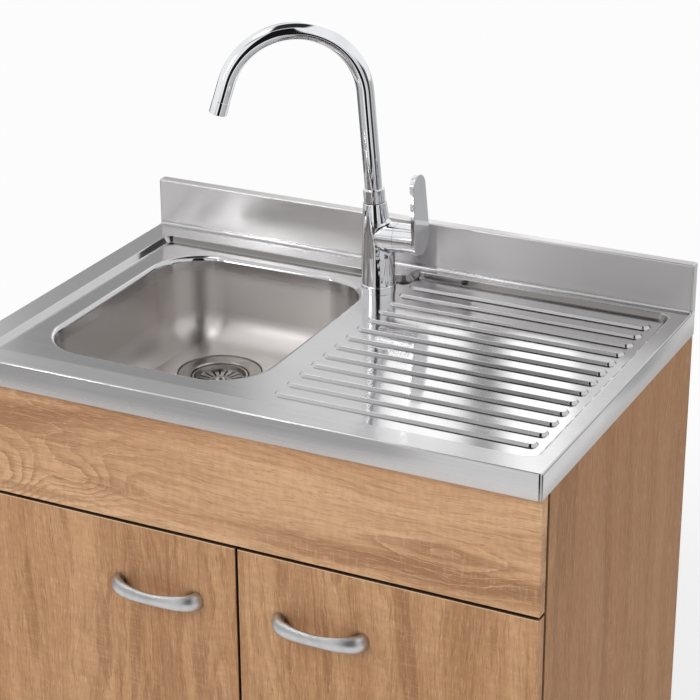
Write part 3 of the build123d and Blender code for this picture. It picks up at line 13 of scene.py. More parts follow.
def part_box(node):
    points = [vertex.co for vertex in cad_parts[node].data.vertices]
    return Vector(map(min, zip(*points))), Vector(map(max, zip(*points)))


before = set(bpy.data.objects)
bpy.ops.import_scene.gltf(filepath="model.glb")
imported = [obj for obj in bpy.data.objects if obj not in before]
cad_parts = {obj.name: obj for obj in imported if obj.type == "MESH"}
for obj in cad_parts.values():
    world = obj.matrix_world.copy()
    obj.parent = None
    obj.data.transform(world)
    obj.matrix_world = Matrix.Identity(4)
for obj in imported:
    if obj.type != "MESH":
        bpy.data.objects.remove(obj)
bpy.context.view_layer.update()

# ---------------------------------------------------------------- places on the unit

tap_foot_low, tap_foot_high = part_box("tap_base_ring")
tap_x, tap_y, _ = (tap_foot_low + tap_foot_high) / 2
recess_floor = tap_foot_low.z
recess_depth = 0.008
rim_top = recess_floor + recess_depth

# Zones of the sink's sheet by height, each as where it starts and where it is complete.
bowl_zone = (recess_floor - 0.0025, recess_floor - 0.035)
rim_zone = (rim_top - 0.0015, rim_top - 0.0002)
upstand_zone = (rim_top + 0.003, rim_top + 0.008)
# The step at the back of the recess lies behind the tap, from the floor up to the rim, and its
# face's normal leans to the front by this much. The steel there gets a painted dark reflection.
step_back = (tap_y + 0.022, tap_y + 0.032)
step_foot = (recess_floor - 0.005, recess_floor - 0.0005)
step_head = (rim_top - 0.0005, rim_top - 0.001)
step_lean = (-0.12, -0.35)

# ---------------------------------------------------------------- node graphs


def linear(red, green, blue):
    """A colour written as 0 to 255 screen values, in the linear values that shaders take."""
    channels = []
    for value in (red, green, blue):
        part = value / 255
        channels.append(part / 12.92 if part <= 0.04045 else ((part + 0.055) / 1.055) ** 2.4)
    return (*channels, 1.0)


class Graph:
    """The node graph of a material or a world, with short calls for the nodes used here."""

    def __init__(self, block):
        self.block = block
        block.use_nodes = True
        self.tree = block.node_tree
        self.tree.nodes.clear()

    def put(self, kind, inputs=None, **settings):
        node = self.tree.nodes.new(kind)
        for key, value in settings.items():
            setattr(node, key, value)
        for key, value in (inputs or {}).items():
            self.feed(node.inputs[key], value)
        return node

    def feed(self, socket, value):
        """Links a socket to another one, or sets it to a plain value."""
        if isinstance(value, bpy.types.NodeSocket):
            self.tree.links.new(value, socket)
        else:
            socket.default_value = value

    def math(self, operation, first, second=0.0, third=0.0):
        node = self.put("ShaderNodeMath", {0: first, 1: second, 2: third}, operation=operation)
        return node.outputs[0]

    def vector(self, operation, first, second):
        node = self.put("ShaderNodeVectorMath", {0: first, 1: second}, operation=operation)
        return node.outputs[0]

    def split(self, vector):
        """The three numbers of a vector or a colour."""
        return tuple(self.put("ShaderNodeSeparateXYZ", {0: vector}).outputs)

    def normal(self):
        return self.put("ShaderNodeNewGeometry").outputs["Normal"]

    def place(self, order="XYZ", shift=(0.0, 0.0, 0.0)):
        """The point on the piece, its axes taken in an order and then moved."""
        axes = dict(zip("XYZ", self.split(self.put("ShaderNodeTexCoord").outputs["Object"])))
        turned = self.put("ShaderNodeCombineXYZ", {i: axes[order[i]] for i in range(3)}).outputs[0]
        return self.vector("ADD", turned, shift)

    def noise(self, place, scale=1.0, detail=2.0, rough=0.5, distortion=0.0):
        inputs = {
            "Vector": place,
            "Scale": scale,
            "Detail": detail,
            "Roughness": rough,
            "Distortion": distortion,
        }
        return self.put("ShaderNodeTexNoise", inputs, noise_dimensions="3D").outputs[0]

    def grain(self, place, along, across, **settings):
        """Noise stretched along the place's first axis: its features per metre along and across."""
        stretched = self.vector("MULTIPLY", place, (along, across, across))
        return self.noise(stretched, **settings)

    def cells(self, scale):
        """Round cells in space: each one's own colour, and the distance from its middle."""
        inputs = {"Vector": self.place(), "Scale": scale}
        outputs = self.put("ShaderNodeTexVoronoi", inputs, voronoi_dimensions="3D").outputs
        return outputs["Color"], outputs["Distance"]

    def ramp(self, value, *stops):
        """Colour against a value: each stop is its place and its colour."""
        node = self.put("ShaderNodeValToRGB", {0: value})
        band = node.color_ramp
        band.interpolation = "EASE"
        while len(band.elements) < len(stops):
            band.elements.new(0.5)
        for element, (place, colour) in zip(band.elements, stops):
            element.position = place
            element.color = colour
        return node.outputs[0]

    def span(self, value, start, end, at_start=0.0, at_end=1.0):
        """The value carried smoothly from start..end to at_start..at_end, and held beyond them."""
        inputs = {"Value": value, 1: start, 2: end, 3: at_start, 4: at_end}
        return self.put("ShaderNodeMapRange", inputs, interpolation_type="SMOOTHSTEP").outputs[0]

    def mix(self, amount, first, second):
        node = self.put("ShaderNodeMix", data_type="RGBA")
        self.feed(node.inputs[0], amount)
        self.feed(node.inputs[6], first)
        self.feed(node.inputs[7], second)
        return node.outputs[2]

    def bump(self, height, distance, strength, normal=None):
        inputs = {"Height": height, "Distance": distance, "Strength": strength}
        if normal is not None:
            inputs["Normal"] = normal
        return self.put("ShaderNodeBump", inputs).outputs[0]

    def painted_crevice_shade(self, reach, depth):
        """Painted shade: 1 on open faces, falling to the depth's value where a gap or a slot closes
        in.
        """
        shade = self.put("ShaderNodeAmbientOcclusion", {"Distance": reach}, samples=8).outputs["AO"]
        return self.span(shade, 0.25, 0.85, depth, 1.0)

    def seen(self):
        """1 for what the camera sees, straight or in a mirror or glass, and 0 for light that falls."""
        path = self.put("ShaderNodeLightPath").outputs
        mirrored = self.math("MAXIMUM", path["Is Camera Ray"], path["Is Glossy Ray"])
        return self.math("MAXIMUM", mirrored, path["Is Transmission Ray"])

    def emission(self, colour):
        return self.put("ShaderNodeEmission", {"Color": colour, "Strength": 1.0}).outputs[0]

    def mix_shaders(self, share, first, second):
        return self.put("ShaderNodeMixShader", {0: share, 1: first, 2: second}).outputs[0]

    def surface(self, shader, kind="ShaderNodeOutputMaterial"):
        self.put(kind, {"Surface": shader})
        return self.block

    def principled(self, **sockets):
        """The finished material: each keyword is a socket of the shader, with _ for a space."""
        inputs = {key.replace("_", " "): value for key, value in sockets.items()}
        return self.surface(self.put("ShaderNodeBsdfPrincipled", inputs).outputs[0])


def new_graph(name):
    """The graph of a new material."""
    return Graph(bpy.data.materials.new(name))


# ---------------------------------------------------------------- wood


class OakDecor(Graph):
    """Sonoma oak decor: long soft bands, rings in cathedral arches, dark flames, limed pores.

    The grain runs along the first axis of the order. The shift moves each panel to a part of the
    noise of its own. Each step takes the tone so far and returns the next one.
    """

    sway_width = 0.07  # how far the slow sway moves a line of the grain, side to side
    shiver_width = 0.008
    rings_per_rise = 19.0  # rings between the foot and the top of a hill that rises by 1

    def __init__(self, name, order, shift, tones):
        super().__init__(bpy.data.materials.new(name))
        self.light, self.mean, self.dark = tones
        self.straight = self.place(order, shift)
        self.swayed = self.sway_aside(self.straight)
        self.along, self.across, _ = self.split(self.vector("SUBTRACT", self.swayed, shift))
        self.fibre = self.grain(self.swayed, 9.0, 260.0, detail=4.0, rough=0.68)
        self.pore = self.grain(self.swayed, 40.0, 760.0, detail=2.0, rough=0.6)

    def sway_aside(self, straight):
        """The grain's own place: a slow sway and a fine shiver push its lines aside."""
        sway = self.grain(straight, 1.7, 5.0, detail=2.0, rough=0.45)
        shiver = self.grain(straight, 30.0, 60.0, detail=3.0, rough=0.6)
        swayed = self.math("MULTIPLY_ADD", sway, self.sway_width, -self.sway_width / 2)
        shivered = self.math("MULTIPLY_ADD", shiver, self.shiver_width, -self.shiver_width / 2)
        aside = self.math("ADD", swayed, shivered)
        return self.vector("ADD", straight, self.put("ShaderNodeCombineXYZ", {1: aside}).outputs[0])

    def patch(self, middle_along, middle_across, half_length, half_width):
        """Where a point lies from a patch's middle, along and across, in shares of its half sizes."""
        run = self.math("MULTIPLY_ADD", self.along, 1 / half_length, -middle_along / half_length)
        reach = self.math("MULTIPLY_ADD", self.across, 1 / half_width, -middle_across / half_width)
        return run, reach

    def bands(self):
        """The tone to start from: soft bands along the grain."""
        band = self.grain(self.swayed, 0.9, 15.0, detail=4.0, rough=0.55)
        return self.ramp(band, (0.33, self.dark), (0.47, self.mean), (0.64, self.light))

    def rings(self, tone, figure, knots):
        """Growth rings: level lines of a slow hill, crowded where it is steep, and round each knot."""
        hill = self.grain(self.swayed, 1.5, 6.5, detail=1.6, rough=0.42)
        where = self.grain(self.straight, 1.3, 4.0, detail=1.0, rough=0.4)
        shown = self.math("MULTIPLY", self.span(where, 0.44, 0.60), figure)
        for *knot, rise in knots:
            run, reach = self.patch(*knot)
            run_squared = self.math("MULTIPLY", run, run)
            far_squared = self.math("MULTIPLY_ADD", reach, reach, run_squared)
            bell = self.math("EXPONENT", self.math("MULTIPLY", far_squared, -1.0))
            hill = self.math("MULTIPLY_ADD", bell, rise, hill)
            shown = self.math("MAXIMUM", shown, self.span(bell, 0.12, 0.45, 0.0, 1.5))
        ragged = self.grain(self.swayed, 26.0, 160.0, detail=3.0, rough=0.6)
        level = self.math("MULTIPLY", hill, self.rings_per_rise)
        ring = self.math("FRACT", self.math("ADD", level, self.math("MULTIPLY", ragged, 0.55)))
        late = self.math("MULTIPLY", self.span(ring, 0.40, 0.97), shown)
        early = self.math("MULTIPLY", self.span(ring, 0.0, 0.13, 1.0, 0.0), shown)
        tone = self.mix(self.math("MULTIPLY", late, 0.50), tone, self.dark)
        return self.mix(self.math("MULTIPLY", early, 0.62), tone, self.light)

    def flames(self, tone, spears):
        """Dark tapered patches with a sharp side, and light ripples across the grain near them."""
        flame = self.grain(self.swayed, 2.6, 21.0, detail=2.5, rough=0.5)
        inside = self.span(flame, 0.60, 0.645)
        for spear in spears:
            run, reach = self.patch(*spear)
            run = self.math("ABSOLUTE", run)
            reach = self.math("ADD", self.math("ABSOLUTE", reach), self.math("MULTIPLY", run, run))
            inside = self.math("MAXIMUM", inside, self.span(reach, 1.0, 0.80))
        tone = self.mix(self.math("MULTIPLY", inside, 0.55), tone, self.dark)
        ripple = self.grain(self.swayed, 230.0, 26.0, detail=2.0, rough=0.55, distortion=0.4)
        nearby = self.span(flame, 0.50, 0.68)
        nearby = self.math("MAXIMUM", nearby, self.math("MULTIPLY", inside, 0.8))
        rippled = self.math("MULTIPLY", self.span(ripple, 0.48, 0.70), nearby)
        return self.mix(self.math("MULTIPLY", rippled, 0.42), tone, self.light)

    def fibres(self, tone, swell):
        """Fine fibres, limed and dark pores, and a swell of shade across the grain."""
        tone = self.mix(self.span(self.fibre, 0.30, 0.52, 0.52, 0.0), tone, self.dark)
        tone = self.mix(self.span(self.fibre, 0.52, 0.74, 0.0, 0.52), tone, self.light)
        tone = self.mix(self.span(self.pore, 0.56, 0.70, 0.0, 0.42), tone, linear(232, 196, 156))
        tone = self.mix(self.span(self.pore, 0.30, 0.43, 0.44, 0.0), tone, linear(104, 68, 42))
        cross = self.grain(self.swayed, 120.0, 40.0, detail=3.0, rough=0.6)
        return self.mix(self.span(cross, 0.40, 0.60, 0.16 * swell, 0.0), tone, self.dark)

    def edges(self, tone):
        """Painted shade, near black, in gaps between panels; painted highlight, pale, on rounded upper
        edges.
        """
        # Painted shade: gaps, and the fascia's top under the rim, are darkened towards near black.
        tone = self.mix(self.painted_crevice_shade(0.012, 0.04), linear(20, 13, 9), tone)
        # Painted highlight: a pale line where the face turns upward, as on a lit rounded edge.
        upward = self.split(self.normal())[2]
        turning_up = self.span(upward, 0.20, 0.45)
        edge = self.math("MULTIPLY", turning_up, self.span(upward, 0.985, 0.93))
        return self.mix(self.math("MULTIPLY", edge, 0.75), tone, linear(240, 210, 176))


def oak(name, order, shift, tones, figure, swell=1.0, knots=(), spears=()):
    """A panel's oak decor: figure is the strength of its rings, and swell of its cross shade.

    Knots are hills that the rings run round, and spears are dark tapered patches.
    """
    wood = OakDecor(name, order, shift, tones)
    tone = wood.rings(wood.bands(), figure, knots)
    tone = wood.fibres(wood.flames(tone, spears), swell)
    relief = wood.math("ADD", wood.fibre, wood.math("MULTIPLY", wood.pore, 0.8))
    return wood.principled(
        Base_Color=wood.edges(tone),
        Roughness=wood.span(wood.fibre, 0.3, 0.7, 0.66, 0.54),
        Specular_IOR_Level=0.20,
        Normal=wood.bump(relief, distance=0.00025, strength=0.55),
    )


def chipboard(name, pale, brown):
    """Pressed wood chips, as on a cut edge: flakes of several tones."""
    g = new_graph(name)
    flake_colour, flake_height = g.cells(2100.0)
    cloud = g.noise(g.place(), 38.0, detail=3.0)
    tone = g.mix(g.split(flake_colour)[0], brown, pale)
    return g.principled(
        Base_Color=g.mix(g.span(cloud, 0.3, 0.7, 0.0, 0.35), tone, brown),
        Roughness=0.8,
        Normal=g.bump(flake_height, distance=0.0004, strength=0.5),
    )


def laminate(name, colour, speck):
    """Plain melamine face: a fine orange-peel and a faint mottle."""
    g = new_graph(name)
    mottle = g.noise(g.place(), 55.0, detail=4.0)
    peel = g.noise(g.place(), 1400.0)
    return g.principled(
        Base_Color=g.mix(g.span(mottle, 0.3, 0.7), colour, speck),
        Roughness=g.span(mottle, 0.3, 0.7, 0.42, 0.52),
        Normal=g.bump(peel, distance=0.00008, strength=0.5),
    )


def hardwood(name, light, dark):
    """Turned beech, as in a fluted dowel: straight grain with short flecks."""
    g = new_graph(name)
    fibre = g.grain(g.place(), 60.0, 900.0, detail=4.0)
    fleck = g.grain(g.place(), 300.0, 1500.0, detail=1.0)
    tone = g.mix(g.span(fibre, 0.3, 0.7), light, dark)
    return g.principled(
        Base_Color=g.mix(g.span(fleck, 0.62, 0.7, 0.0, 0.5), tone, dark),
        Roughness=0.6,
        Normal=g.bump(fibre, distance=0.0001, strength=0.5),
    )


# ---------------------------------------------------------------- metal


def brushed_tangent(g):
    """The brushing runs level: along X where the sheet lies flat, and round it where it stands."""
    lead = (0.03, 0.0, 0.0)
    level = g.vector("CROSS_PRODUCT", (0.0, 0.0, 1.0), g.normal())
    return g.vector("NORMALIZE", g.vector("ADD", level, lead), (0.0, 0.0, 0.0))


def sheet_steel(name):
    """The sink's sheet: near-mirror drainer, brushed rim and upstand, satin bowl, with fine wear."""
    g = new_graph(name)
    here = g.place()
    _, y, z = g.split(here)
    _, normal_y, _ = g.split(g.normal())
    in_bowl = g.span(z, *bowl_zone)
    on_rim = g.span(z, *rim_zone)
    on_upstand = g.span(z, *upstand_zone)
    # Mask of the back step behind the tap, where a dark reflection is painted into the steel's colour.
    step_painted_dark_reflection = g.math("MULTIPLY", g.span(y, *step_back), g.span(normal_y, *step_lean))
    step_painted_dark_reflection = g.math("MULTIPLY", step_painted_dark_reflection, g.span(z, *step_foot))
    step_painted_dark_reflection = g.math("MULTIPLY", step_painted_dark_reflection, g.span(z, *step_head))

    streak = g.grain(here, 7.0, 900.0, detail=3.0, rough=0.6)
    hair = g.grain(here, 26.0, 2600.0, detail=2.0, rough=0.6)
    cloud = g.noise(here, 9.0, detail=3.0, rough=0.55)
    spot = g.noise(here, 150.0, detail=3.0, rough=0.6)
    crosswise = g.place("YXZ", shift=(0.4, 0.1, 0.0))
    scratch = g.grain(crosswise, 34.0, 1500.0, detail=1.0, rough=0.4, distortion=0.3)
    sway = g.noise(here, 3.2, detail=1.0, rough=0.4)

    tone = g.mix(g.span(streak, 0.25, 0.75), linear(193, 192, 193), linear(204, 203, 204))
    tone = g.mix(g.span(cloud, 0.35, 0.7, 0.0, 0.25), tone, linear(184, 182, 182))
    # Painted light: the upstand's steel gets a lighter tone than the deck's, for the brighter light it
    # shows.
    tone = g.mix(on_upstand, tone, linear(212, 210, 210))
    # Painted reflection: the step is darkened to stand for the dark surroundings that it mirrors.
    tone = g.mix(g.math("MULTIPLY", step_painted_dark_reflection, 0.75), tone, linear(96, 90, 86))
    # Painted light: the bowl's steel gets a lighter tone than the deck's, for the brighter light on
    # its walls.
    tone = g.mix(g.math("MULTIPLY", in_bowl, 0.85), tone, linear(214, 209, 206))

    rough = g.span(streak, 0.25, 0.75, 0.085, 0.105)
    rough = g.math("ADD", rough, g.span(cloud, 0.35, 0.7, -0.01, 0.02))
    rough = g.math("ADD", rough, g.span(spot, 0.60, 0.72, 0.0, 0.02))
    for zone, more in ((on_rim, 0.10), (on_upstand, 0.10), (in_bowl, 0.27)):
        rough = g.math("MULTIPLY_ADD", zone, more, rough)

    lines = g.math("ADD", g.math("MULTIPLY", streak, 0.6), hair)
    lines = g.math("ADD", lines, g.span(scratch, 0.72, 0.76, 0.0, -0.6))
    normal = g.bump(sway, distance=0.0006, strength=1.0)
    return g.principled(
        Base_Color=tone,
        Metallic=1.0,
        Roughness=rough,
        Anisotropic=0.85,
        Anisotropic_Rotation=0.25,
        Tangent=brushed_tangent(g),
        Normal=g.bump(lines, distance=0.000006, strength=0.8, normal=normal),
    )


def satin_metal(name, bright, dull, smoothest, roughest, grain=260.0, slot_shade=None):
    """Cast or turned metal: a fine satin grain, a little wear, and painted shade in its slots if
    given.
    """
    g = new_graph(name)
    grit = g.noise(g.place(), grain, detail=4.0, rough=0.65)
    wear = g.noise(g.place(), 60.0, detail=3.0)
    fine = g.noise(g.place(), 3200.0, detail=1.0)
    tone = g.mix(g.span(wear, 0.35, 0.68), bright, dull)
    if slot_shade is not None:
        # Painted shade: the slots are darkened towards the given colour where they close in.
        tone = g.mix(g.painted_crevice_shade(0.006, 0.05), slot_shade, tone)
    rough = g.span(grit, 0.3, 0.7, smoothest, roughest)
    return g.principled(
        Base_Color=tone,
        Metallic=1.0,
        Roughness=g.math("ADD", rough, g.span(wear, 0.4, 0.7, 0.0, 0.04)),
        Normal=g.bump(g.math("ADD", grit, fine), distance=0.00003, strength=0.6),
    )


def chrome_plate(name):
    """Bright chrome with water marks, faint smears and a trace of lapping under the plate."""
    g = new_graph(name)
    stretched = g.vector("MULTIPLY", g.place(), (30.0, 30.0, 12.0))
    smear = g.noise(stretched, detail=3.0, rough=0.6)
    lap = g.noise(g.place(), 24.0)
    drop = g.span(g.cells(170.0)[1], 0.10, 0.16, 1.0, 0.0)
    mark = g.math("MULTIPLY", drop, g.span(smear, 0.58, 0.66))
    rough = g.span(smear, 0.35, 0.75, 0.025, 0.07)
    return g.principled(
        Base_Color=g.mix(g.span(smear, 0.4, 0.8), linear(236, 237, 240), linear(226, 227, 231)),
        Metallic=1.0,
        Roughness=g.math("ADD", rough, g.math("MULTIPLY", mark, 0.03)),
        Normal=g.bump(lap, distance=0.00005, strength=0.5),
    )


# ---------------------------------------------------------------- plastic and rubber


def moulded(name, colour, second, rough, grain=900.0):
    """Moulded plastic or rubber: spark-eroded grain and the mottle of its flow."""
    g = new_graph(name)
    grit = g.noise(g.place(), grain, rough=0.6)
    flow = g.noise(g.vector("MULTIPLY", g.place(), (26.0, 26.0, 60.0)), detail=3.0)
    return g.principled(
        Base_Color=g.mix(g.span(flow, 0.3, 0.7), colour, second),
        Roughness=g.span(flow, 0.3, 0.7, rough, rough + 0.08),
        Normal=g.bump(grit, distance=0.00006, strength=0.6),
    )


def clear_pad(name):
    """A clear soft buffer pad, slightly milky."""
    g = new_graph(name)
    milk = g.noise(g.place(), 500.0)
    return g.principled(
        Base_Color=g.mix(g.span(milk, 0.3, 0.7), linear(232, 234, 236), linear(214, 217, 220)),
        Roughness=g.span(milk, 0.3, 0.7, 0.18, 0.28),
        Transmission_Weight=0.55,
        IOR=1.45,
    )


# ---------------------------------------------------------------- finishes on the CAD nodes

# Light, mean and dark tone of the decor. The fascia's tones are lighter than the doors', painted light
# against the shade under the rim, and the sides' are darker, painted shade.
fascia_oak = (linear(222, 181, 141), linear(204, 160, 121), linear(162, 120, 86))
door_oak = (linear(202, 158, 117), linear(184, 139, 100), linear(148, 105, 72))
side_oak = (linear(184, 138, 98), linear(176, 129, 89), linear(160, 115, 78))

# The figure's large marks, where the photo shows them. Each is its middle along the grain, its
# middle across the grain, its half length and its half width, and a knot adds its hill's rise.
fascia_knots = (
    (-0.395, 0.655, 0.085, 0.062, 0.42),
    (-0.245, 0.690, 0.050, 0.030, 0.16),
    (0.315, 0.700, 0.105, 0.030, 0.11),
)
fascia_spears = ((-0.190, 0.695, 0.060, 0.012), (0.310, 0.712, 0.130, 0.011))
left_door_spears = ((0.450, -0.240, 0.095, 0.013), (0.330, -0.150, 0.070, 0.010))
right_door_spears = ((0.330, 0.250, 0.120, 0.014), (0.500, 0.140, 0.060, 0.008))

node_finishes = {
    "fascia_panel": oak(
        "oak_fascia",
        "XZY",
        (3.1, 0.4, 0.2),
        fascia_oak,
        figure=0.9,
        knots=fascia_knots,
        spears=fascia_spears,
    ),
    "door_left": oak(
        "oak_door_left", "ZXY", (1.7, 2.3, 0.9), door_oak, figure=0.8, spears=left_door_spears
    ),
    "door_right": oak(
        "oak_door_right", "ZXY", (5.2, 4.6, 1.3), door_oak, figure=0.8, spears=right_door_spears
    ),
    "side_panel_left": oak(
        "oak_side_left", "ZYX", (0.3, 7.7, 2.1), side_oak, figure=0.3, swell=0.4
    ),
    "side_panel_right": oak(
        "oak_side_right", "ZYX", (2.9, 3.3, 4.1), side_oak, figure=0.3, swell=0.4
    ),
    "plinth_board": oak("oak_plinth", "XZY", (8.1, 1.4, 3.2), door_oak, figure=0.8),
}

slot_finishes = {
    "steel": sheet_steel("sink_sheet"),
    "drain_steel": satin_metal(
        "drain_steel",
        linear(186, 182, 178),
        linear(168, 164, 160),
        0.16,
        0.24,
        grain=150.0,
        # painted shade, near black, in the strainer's slots
        slot_shade=linear(18, 17, 16),
    ),
    "chrome": chrome_plate("chrome_plate"),
    "brass": satin_metal("raw_brass", linear(214, 178, 108), linear(190, 150, 86), 0.26, 0.36),
    "chipboard": chipboard("chip_edges", linear(206, 178, 140), linear(150, 116, 80)),
    "inner_board": laminate("inner_melamine", linear(232, 231, 227), linear(229, 228, 224)),
    "back_board": laminate("back_hardboard", linear(226, 224, 219), linear(222, 220, 214)),
    "beech": hardwood("beech_dowel", linear(216, 182, 140), linear(188, 148, 106)),
    "satin_nickel": satin_metal(
        "satin_nickel", linear(208, 208, 209), linear(198, 198, 199), 0.33, 0.39, grain=420.0
    ),
    "zinc": satin_metal("zinc_plate", linear(196, 199, 203), linear(170, 174, 179), 0.30, 0.42),
    "nickel": satin_metal("nickel_plate", linear(206, 204, 199), linear(186, 184, 178), 0.18, 0.27),
    "white_plastic": moulded("white_plastic", linear(236, 236, 233), linear(226, 226, 222), 0.34),
    "dark_plastic": moulded("dark_plastic", linear(44, 44, 46), linear(34, 34, 36), 0.40),
    "clear_buffer": clear_pad("clear_buffer"),
    "rubber": moulded("black_rubber", linear(34, 34, 35), linear(26, 26, 27), 0.62, grain=1400.0),
}

for node_name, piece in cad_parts.items():
    for slot in piece.material_slots:
        slot_name = slot.material.name.split(".")[0] if slot.material else ""
        chosen = node_finishes.get(node_name) or slot_finishes.get(slot_name)
        if chosen is None:
            raise ValueError(f"{node_name} has no finish for its slot {slot_name!r}")
        slot.material = chosen

# ---------------------------------------------------------------- studio

scene = bpy.context.scene
studio_white = linear(253, 253, 253)
sky_light = linear(250, 250, 252)
sky_strength = 0.50
floor_reach = 30.0
contact_shade = 0.45  # the floor's share of real light under the unit
open_shade = 0.02  # and far from it
shade_from, shade_to = 0.7, 1.9  # distances from the unit's foot
overhead = 90.0  # the tilt of a card that hangs level above the unit


def flat_piece(name, corners):
    """A one-face studio piece, such as the floor or a card."""
    mesh = bpy.data.meshes.new(name)
    mesh.from_pydata(corners, [], [tuple(range(len(corners)))])
    mesh.update()
    piece = bpy.data.objects.new(name, mesh)
    scene.collection.objects.link(piece)
    return piece


def studio_floor():
    """White to the camera and in reflections, with a share of real light and shade near the unit."""
    signs = ((-1, -1), (1, -1), (1, 1), (-1, 1))
    piece = flat_piece("studio_floor", [(i * floor_reach, j * floor_reach, 0) for i, j in signs])
    g = new_graph("studio_floor")
    far = g.put("ShaderNodeVectorMath", {0: g.place()}, operation="LENGTH").outputs[1]
    shade = g.span(far, shade_from, shade_to, contact_shade, open_shade)
    matte = g.put("ShaderNodeBsdfDiffuse", {"Color": studio_white}).outputs[0]
    share = g.math("MULTIPLY", g.seen(), g.math("SUBTRACT", 1.0, shade))
    piece.data.materials.append(g.surface(g.mix_shaders(share, matte, g.emission(studio_white))))


def studio_sky():
    """White where it is seen, and a dimmer light where it falls on the unit."""
    scene.world = bpy.data.worlds.new("studio")
    g = Graph(scene.world)
    backgrounds = []
    for colour, strength in ((sky_light, sky_strength), (studio_white, 1.0)):
        inputs = {"Color": colour, "Strength": strength}
        backgrounds.append(g.put("ShaderNodeBackground", inputs).outputs[0])
    g.surface(g.mix_shaders(g.seen(), *backgrounds), "ShaderNodeOutputWorld")


def card(name, centre, width, height, glow, soft, facing=0.0, tilt=0.0):
    """A studio card that only reflections show: its brightness fades out at its edges."""
    heading, lean = math.radians(facing), math.radians(tilt)
    across = Vector((math.cos(heading), math.sin(heading), 0))
    behind = Vector((-math.sin(heading), math.cos(heading), 0))
    up = Vector((0, 0, 1)) * math.cos(lean) + behind * math.sin(lean)
    spots = ((0, 0), (1, 0), (1, 1), (0, 1))
    corners = []
    for i, j in spots:
        corners.append(Vector(centre) + across * ((i - 0.5) * width) + up * ((j - 0.5) * height))
    piece = flat_piece(name, corners)
    for loop, spot in zip(piece.data.uv_layers.new(name="card").data, spots):
        loop.uv = spot

    g = new_graph(name)
    sideways, upwards, _ = g.split(g.put("ShaderNodeTexCoord").outputs["UV"])
    cover = 1.0
    for part in (sideways, upwards):
        inset = g.math("PINGPONG", part, 0.5)
        cover = g.math("MULTIPLY", g.span(inset, 0.0, soft), cover)
    clear = g.put("ShaderNodeBsdfTransparent").outputs[0]
    light = g.emission((glow, glow, glow, 1.0))
    piece.data.materials.append(g.surface(g.mix_shaders(cover, clear, light)))
    piece.visible_camera = False
    piece.visible_diffuse = False
    piece.visible_transmission = False
    piece.visible_volume_scatter = False
    piece.visible_shadow = False


def back_cards():
    """High behind the unit: what the deck and the drainer mirror."""
    y, z, height = 2.6, 2.1, 1.9
    for name, x, width, glow, soft in (
        ("light_back_mid", -1.03, 0.30, 1.7, 0.15),
        ("grey_back_mid", -0.85, 0.13, 0.40, 0.25),
        ("light_back_right", -0.68, 0.26, 2.0, 0.25),
        ("grey_back_left", -2.05, 1.2, 0.44, 0.25),
    ):
        card(name, (x, y, z), width, height, glow, soft)


def overhead_cards():
    """What the spout's top, the lever, the handles and the ribs' front slopes mirror from above."""
    card("dark_ceiling", (0.0, 0.15, 3.4), 1.7, 3.3, glow=0.03, soft=0.15, facing=26, tilt=overhead)
    card("dark_top", (-0.55, -1.80, 3.0), 1.9, 0.8, glow=0.22, soft=0.40, tilt=overhead)


def front_cards():
    """High in front on the left: what the bowl's walls and the upstand mirror off the steel."""
    z = 2.0
    for name, x, y, width, height, glow, soft in (
        ("grey_front", -1.20, -2.14, 1.7, 1.6, 0.62, 0.25),
        ("strip_front_far", -1.57, -2.10, 0.13, 1.5, 19.0, 0.35),
        ("strip_front_left", -1.45, -2.10, 0.12, 1.4, 2.4, 0.45),
        ("strip_front_mid", -1.22, -2.10, 0.07, 1.4, 2.4, 0.40),
        ("dark_front", -1.10, -2.09, 0.16, 1.4, 0.06, 0.30),
        ("strip_front_right", -0.97, -2.10, 0.12, 1.4, 9.0, 0.40),
    ):
        card(name, (x, y, z), width, height, glow, soft)
    card("light_over_bowl", (-0.75, -0.35, 2.7), 0.7, 0.7, glow=5.0, soft=0.35, tilt=overhead)


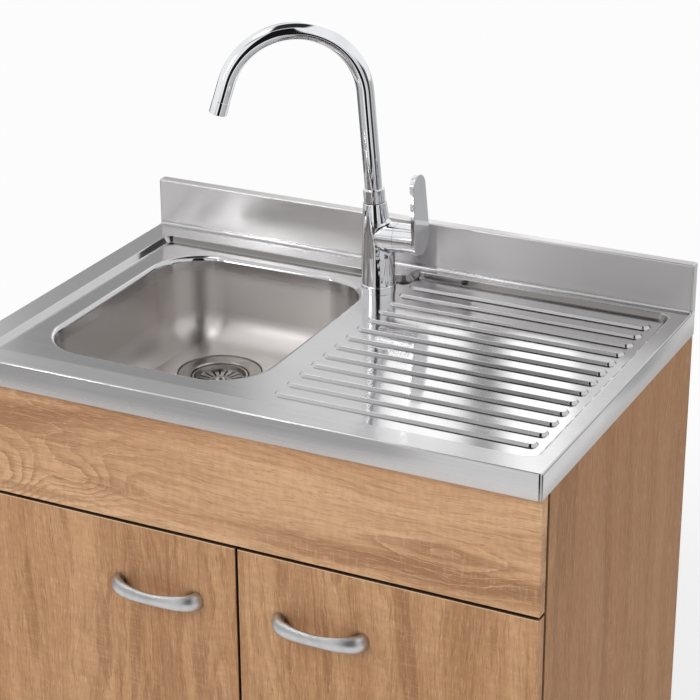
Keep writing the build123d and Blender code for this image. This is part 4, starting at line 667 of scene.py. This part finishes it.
def ring_cards():
    """Standing on the floor round the tap, each between two headings: the chrome's stripes."""
    radius = 1.7
    for name, start, end, height, glow, soft in (
        ("dark_camera", -84, -52, 3.4, 0.01, 0.06),
        ("grey_front_left", -148, -98, 1.1, 0.56, 0.08),
        ("dim_left", -166, -149, 1.1, 0.28, 0.10),
        ("dark_left", -194, -167, 1.1, 0.05, 0.10),
        ("dark_behind_left", 122, 165, 1.1, 0.05, 0.10),
        ("grey_front_right", -47, -29, 1.1, 0.62, 0.10),
        ("dark_front_right", -27, 7, 1.4, 0.05, 0.12),
        ("grey_right", 8, 60, 1.1, 0.46, 0.06),
        ("grey_behind", 61, 112, 1.1, 0.62, 0.06),
    ):
        heading = (start + end) / 2
        x = tap_x + radius * math.cos(math.radians(heading))
        y = tap_y + radius * math.sin(math.radians(heading))
        width = 2 * radius * math.tan(math.radians((end - start) / 2))
        card(name, (x, y, height / 2), width, height, glow, soft, facing=heading + 90)


def lamp(name, spot, aim, size, power, colour=(1.0, 1.0, 1.0)):
    """A square soft light that reflections don't show."""
    data = bpy.data.lights.new(name, "AREA")
    data.shape = "SQUARE"
    data.size = size
    data.energy = power
    data.color = colour
    piece = bpy.data.objects.new(name, data)
    piece.location = spot
    piece.rotation_euler = (Vector(aim) - Vector(spot)).to_track_quat("-Z", "Y").to_euler()
    piece.visible_glossy = False
    scene.collection.objects.link(piece)


studio_floor()
back_cards()
overhead_cards()
front_cards()
ring_cards()
upper_middle = (0.0, 0.0, 0.75)  # of the unit
sink_middle = (0.0, 0.1, 0.8)
warm_white = (1.0, 0.99, 0.975)
lamp("key", (-1.9, -2.9, 3.1), aim=upper_middle, size=1.9, power=62, colour=warm_white)
lamp("fill", (2.9, -2.2, 1.6), aim=upper_middle, size=1.6, power=16)
lamp("top", (0.1, 0.4, 3.3), aim=sink_middle, size=1.5, power=26)
studio_sky()

# ---------------------------------------------------------------- camera, as fitted to the photo

camera_spot = (1.3437, -2.6104, 2.0985)
camera_azimuth = 26.58  # from straight in front, towards the right
camera_elevation = 23.37
camera_roll = -0.39
sensor_width = 36.0  # millimetres, as the lens
lens_length = 114.17

camera_data = bpy.data.cameras.new("camera")
camera_data.sensor_width = sensor_width
camera_data.lens = lens_length
camera = bpy.data.objects.new("camera", camera_data)
camera.location = camera_spot
pitch = math.radians(90 - camera_elevation)
unrolled = Euler((pitch, 0.0, math.radians(camera_azimuth))).to_matrix()
camera.rotation_euler = (unrolled @ Matrix.Rotation(math.radians(camera_roll), 3, "Z")).to_euler()
scene.collection.objects.link(camera)
scene.camera = camera
scene.view_settings.view_transform = "Standard"
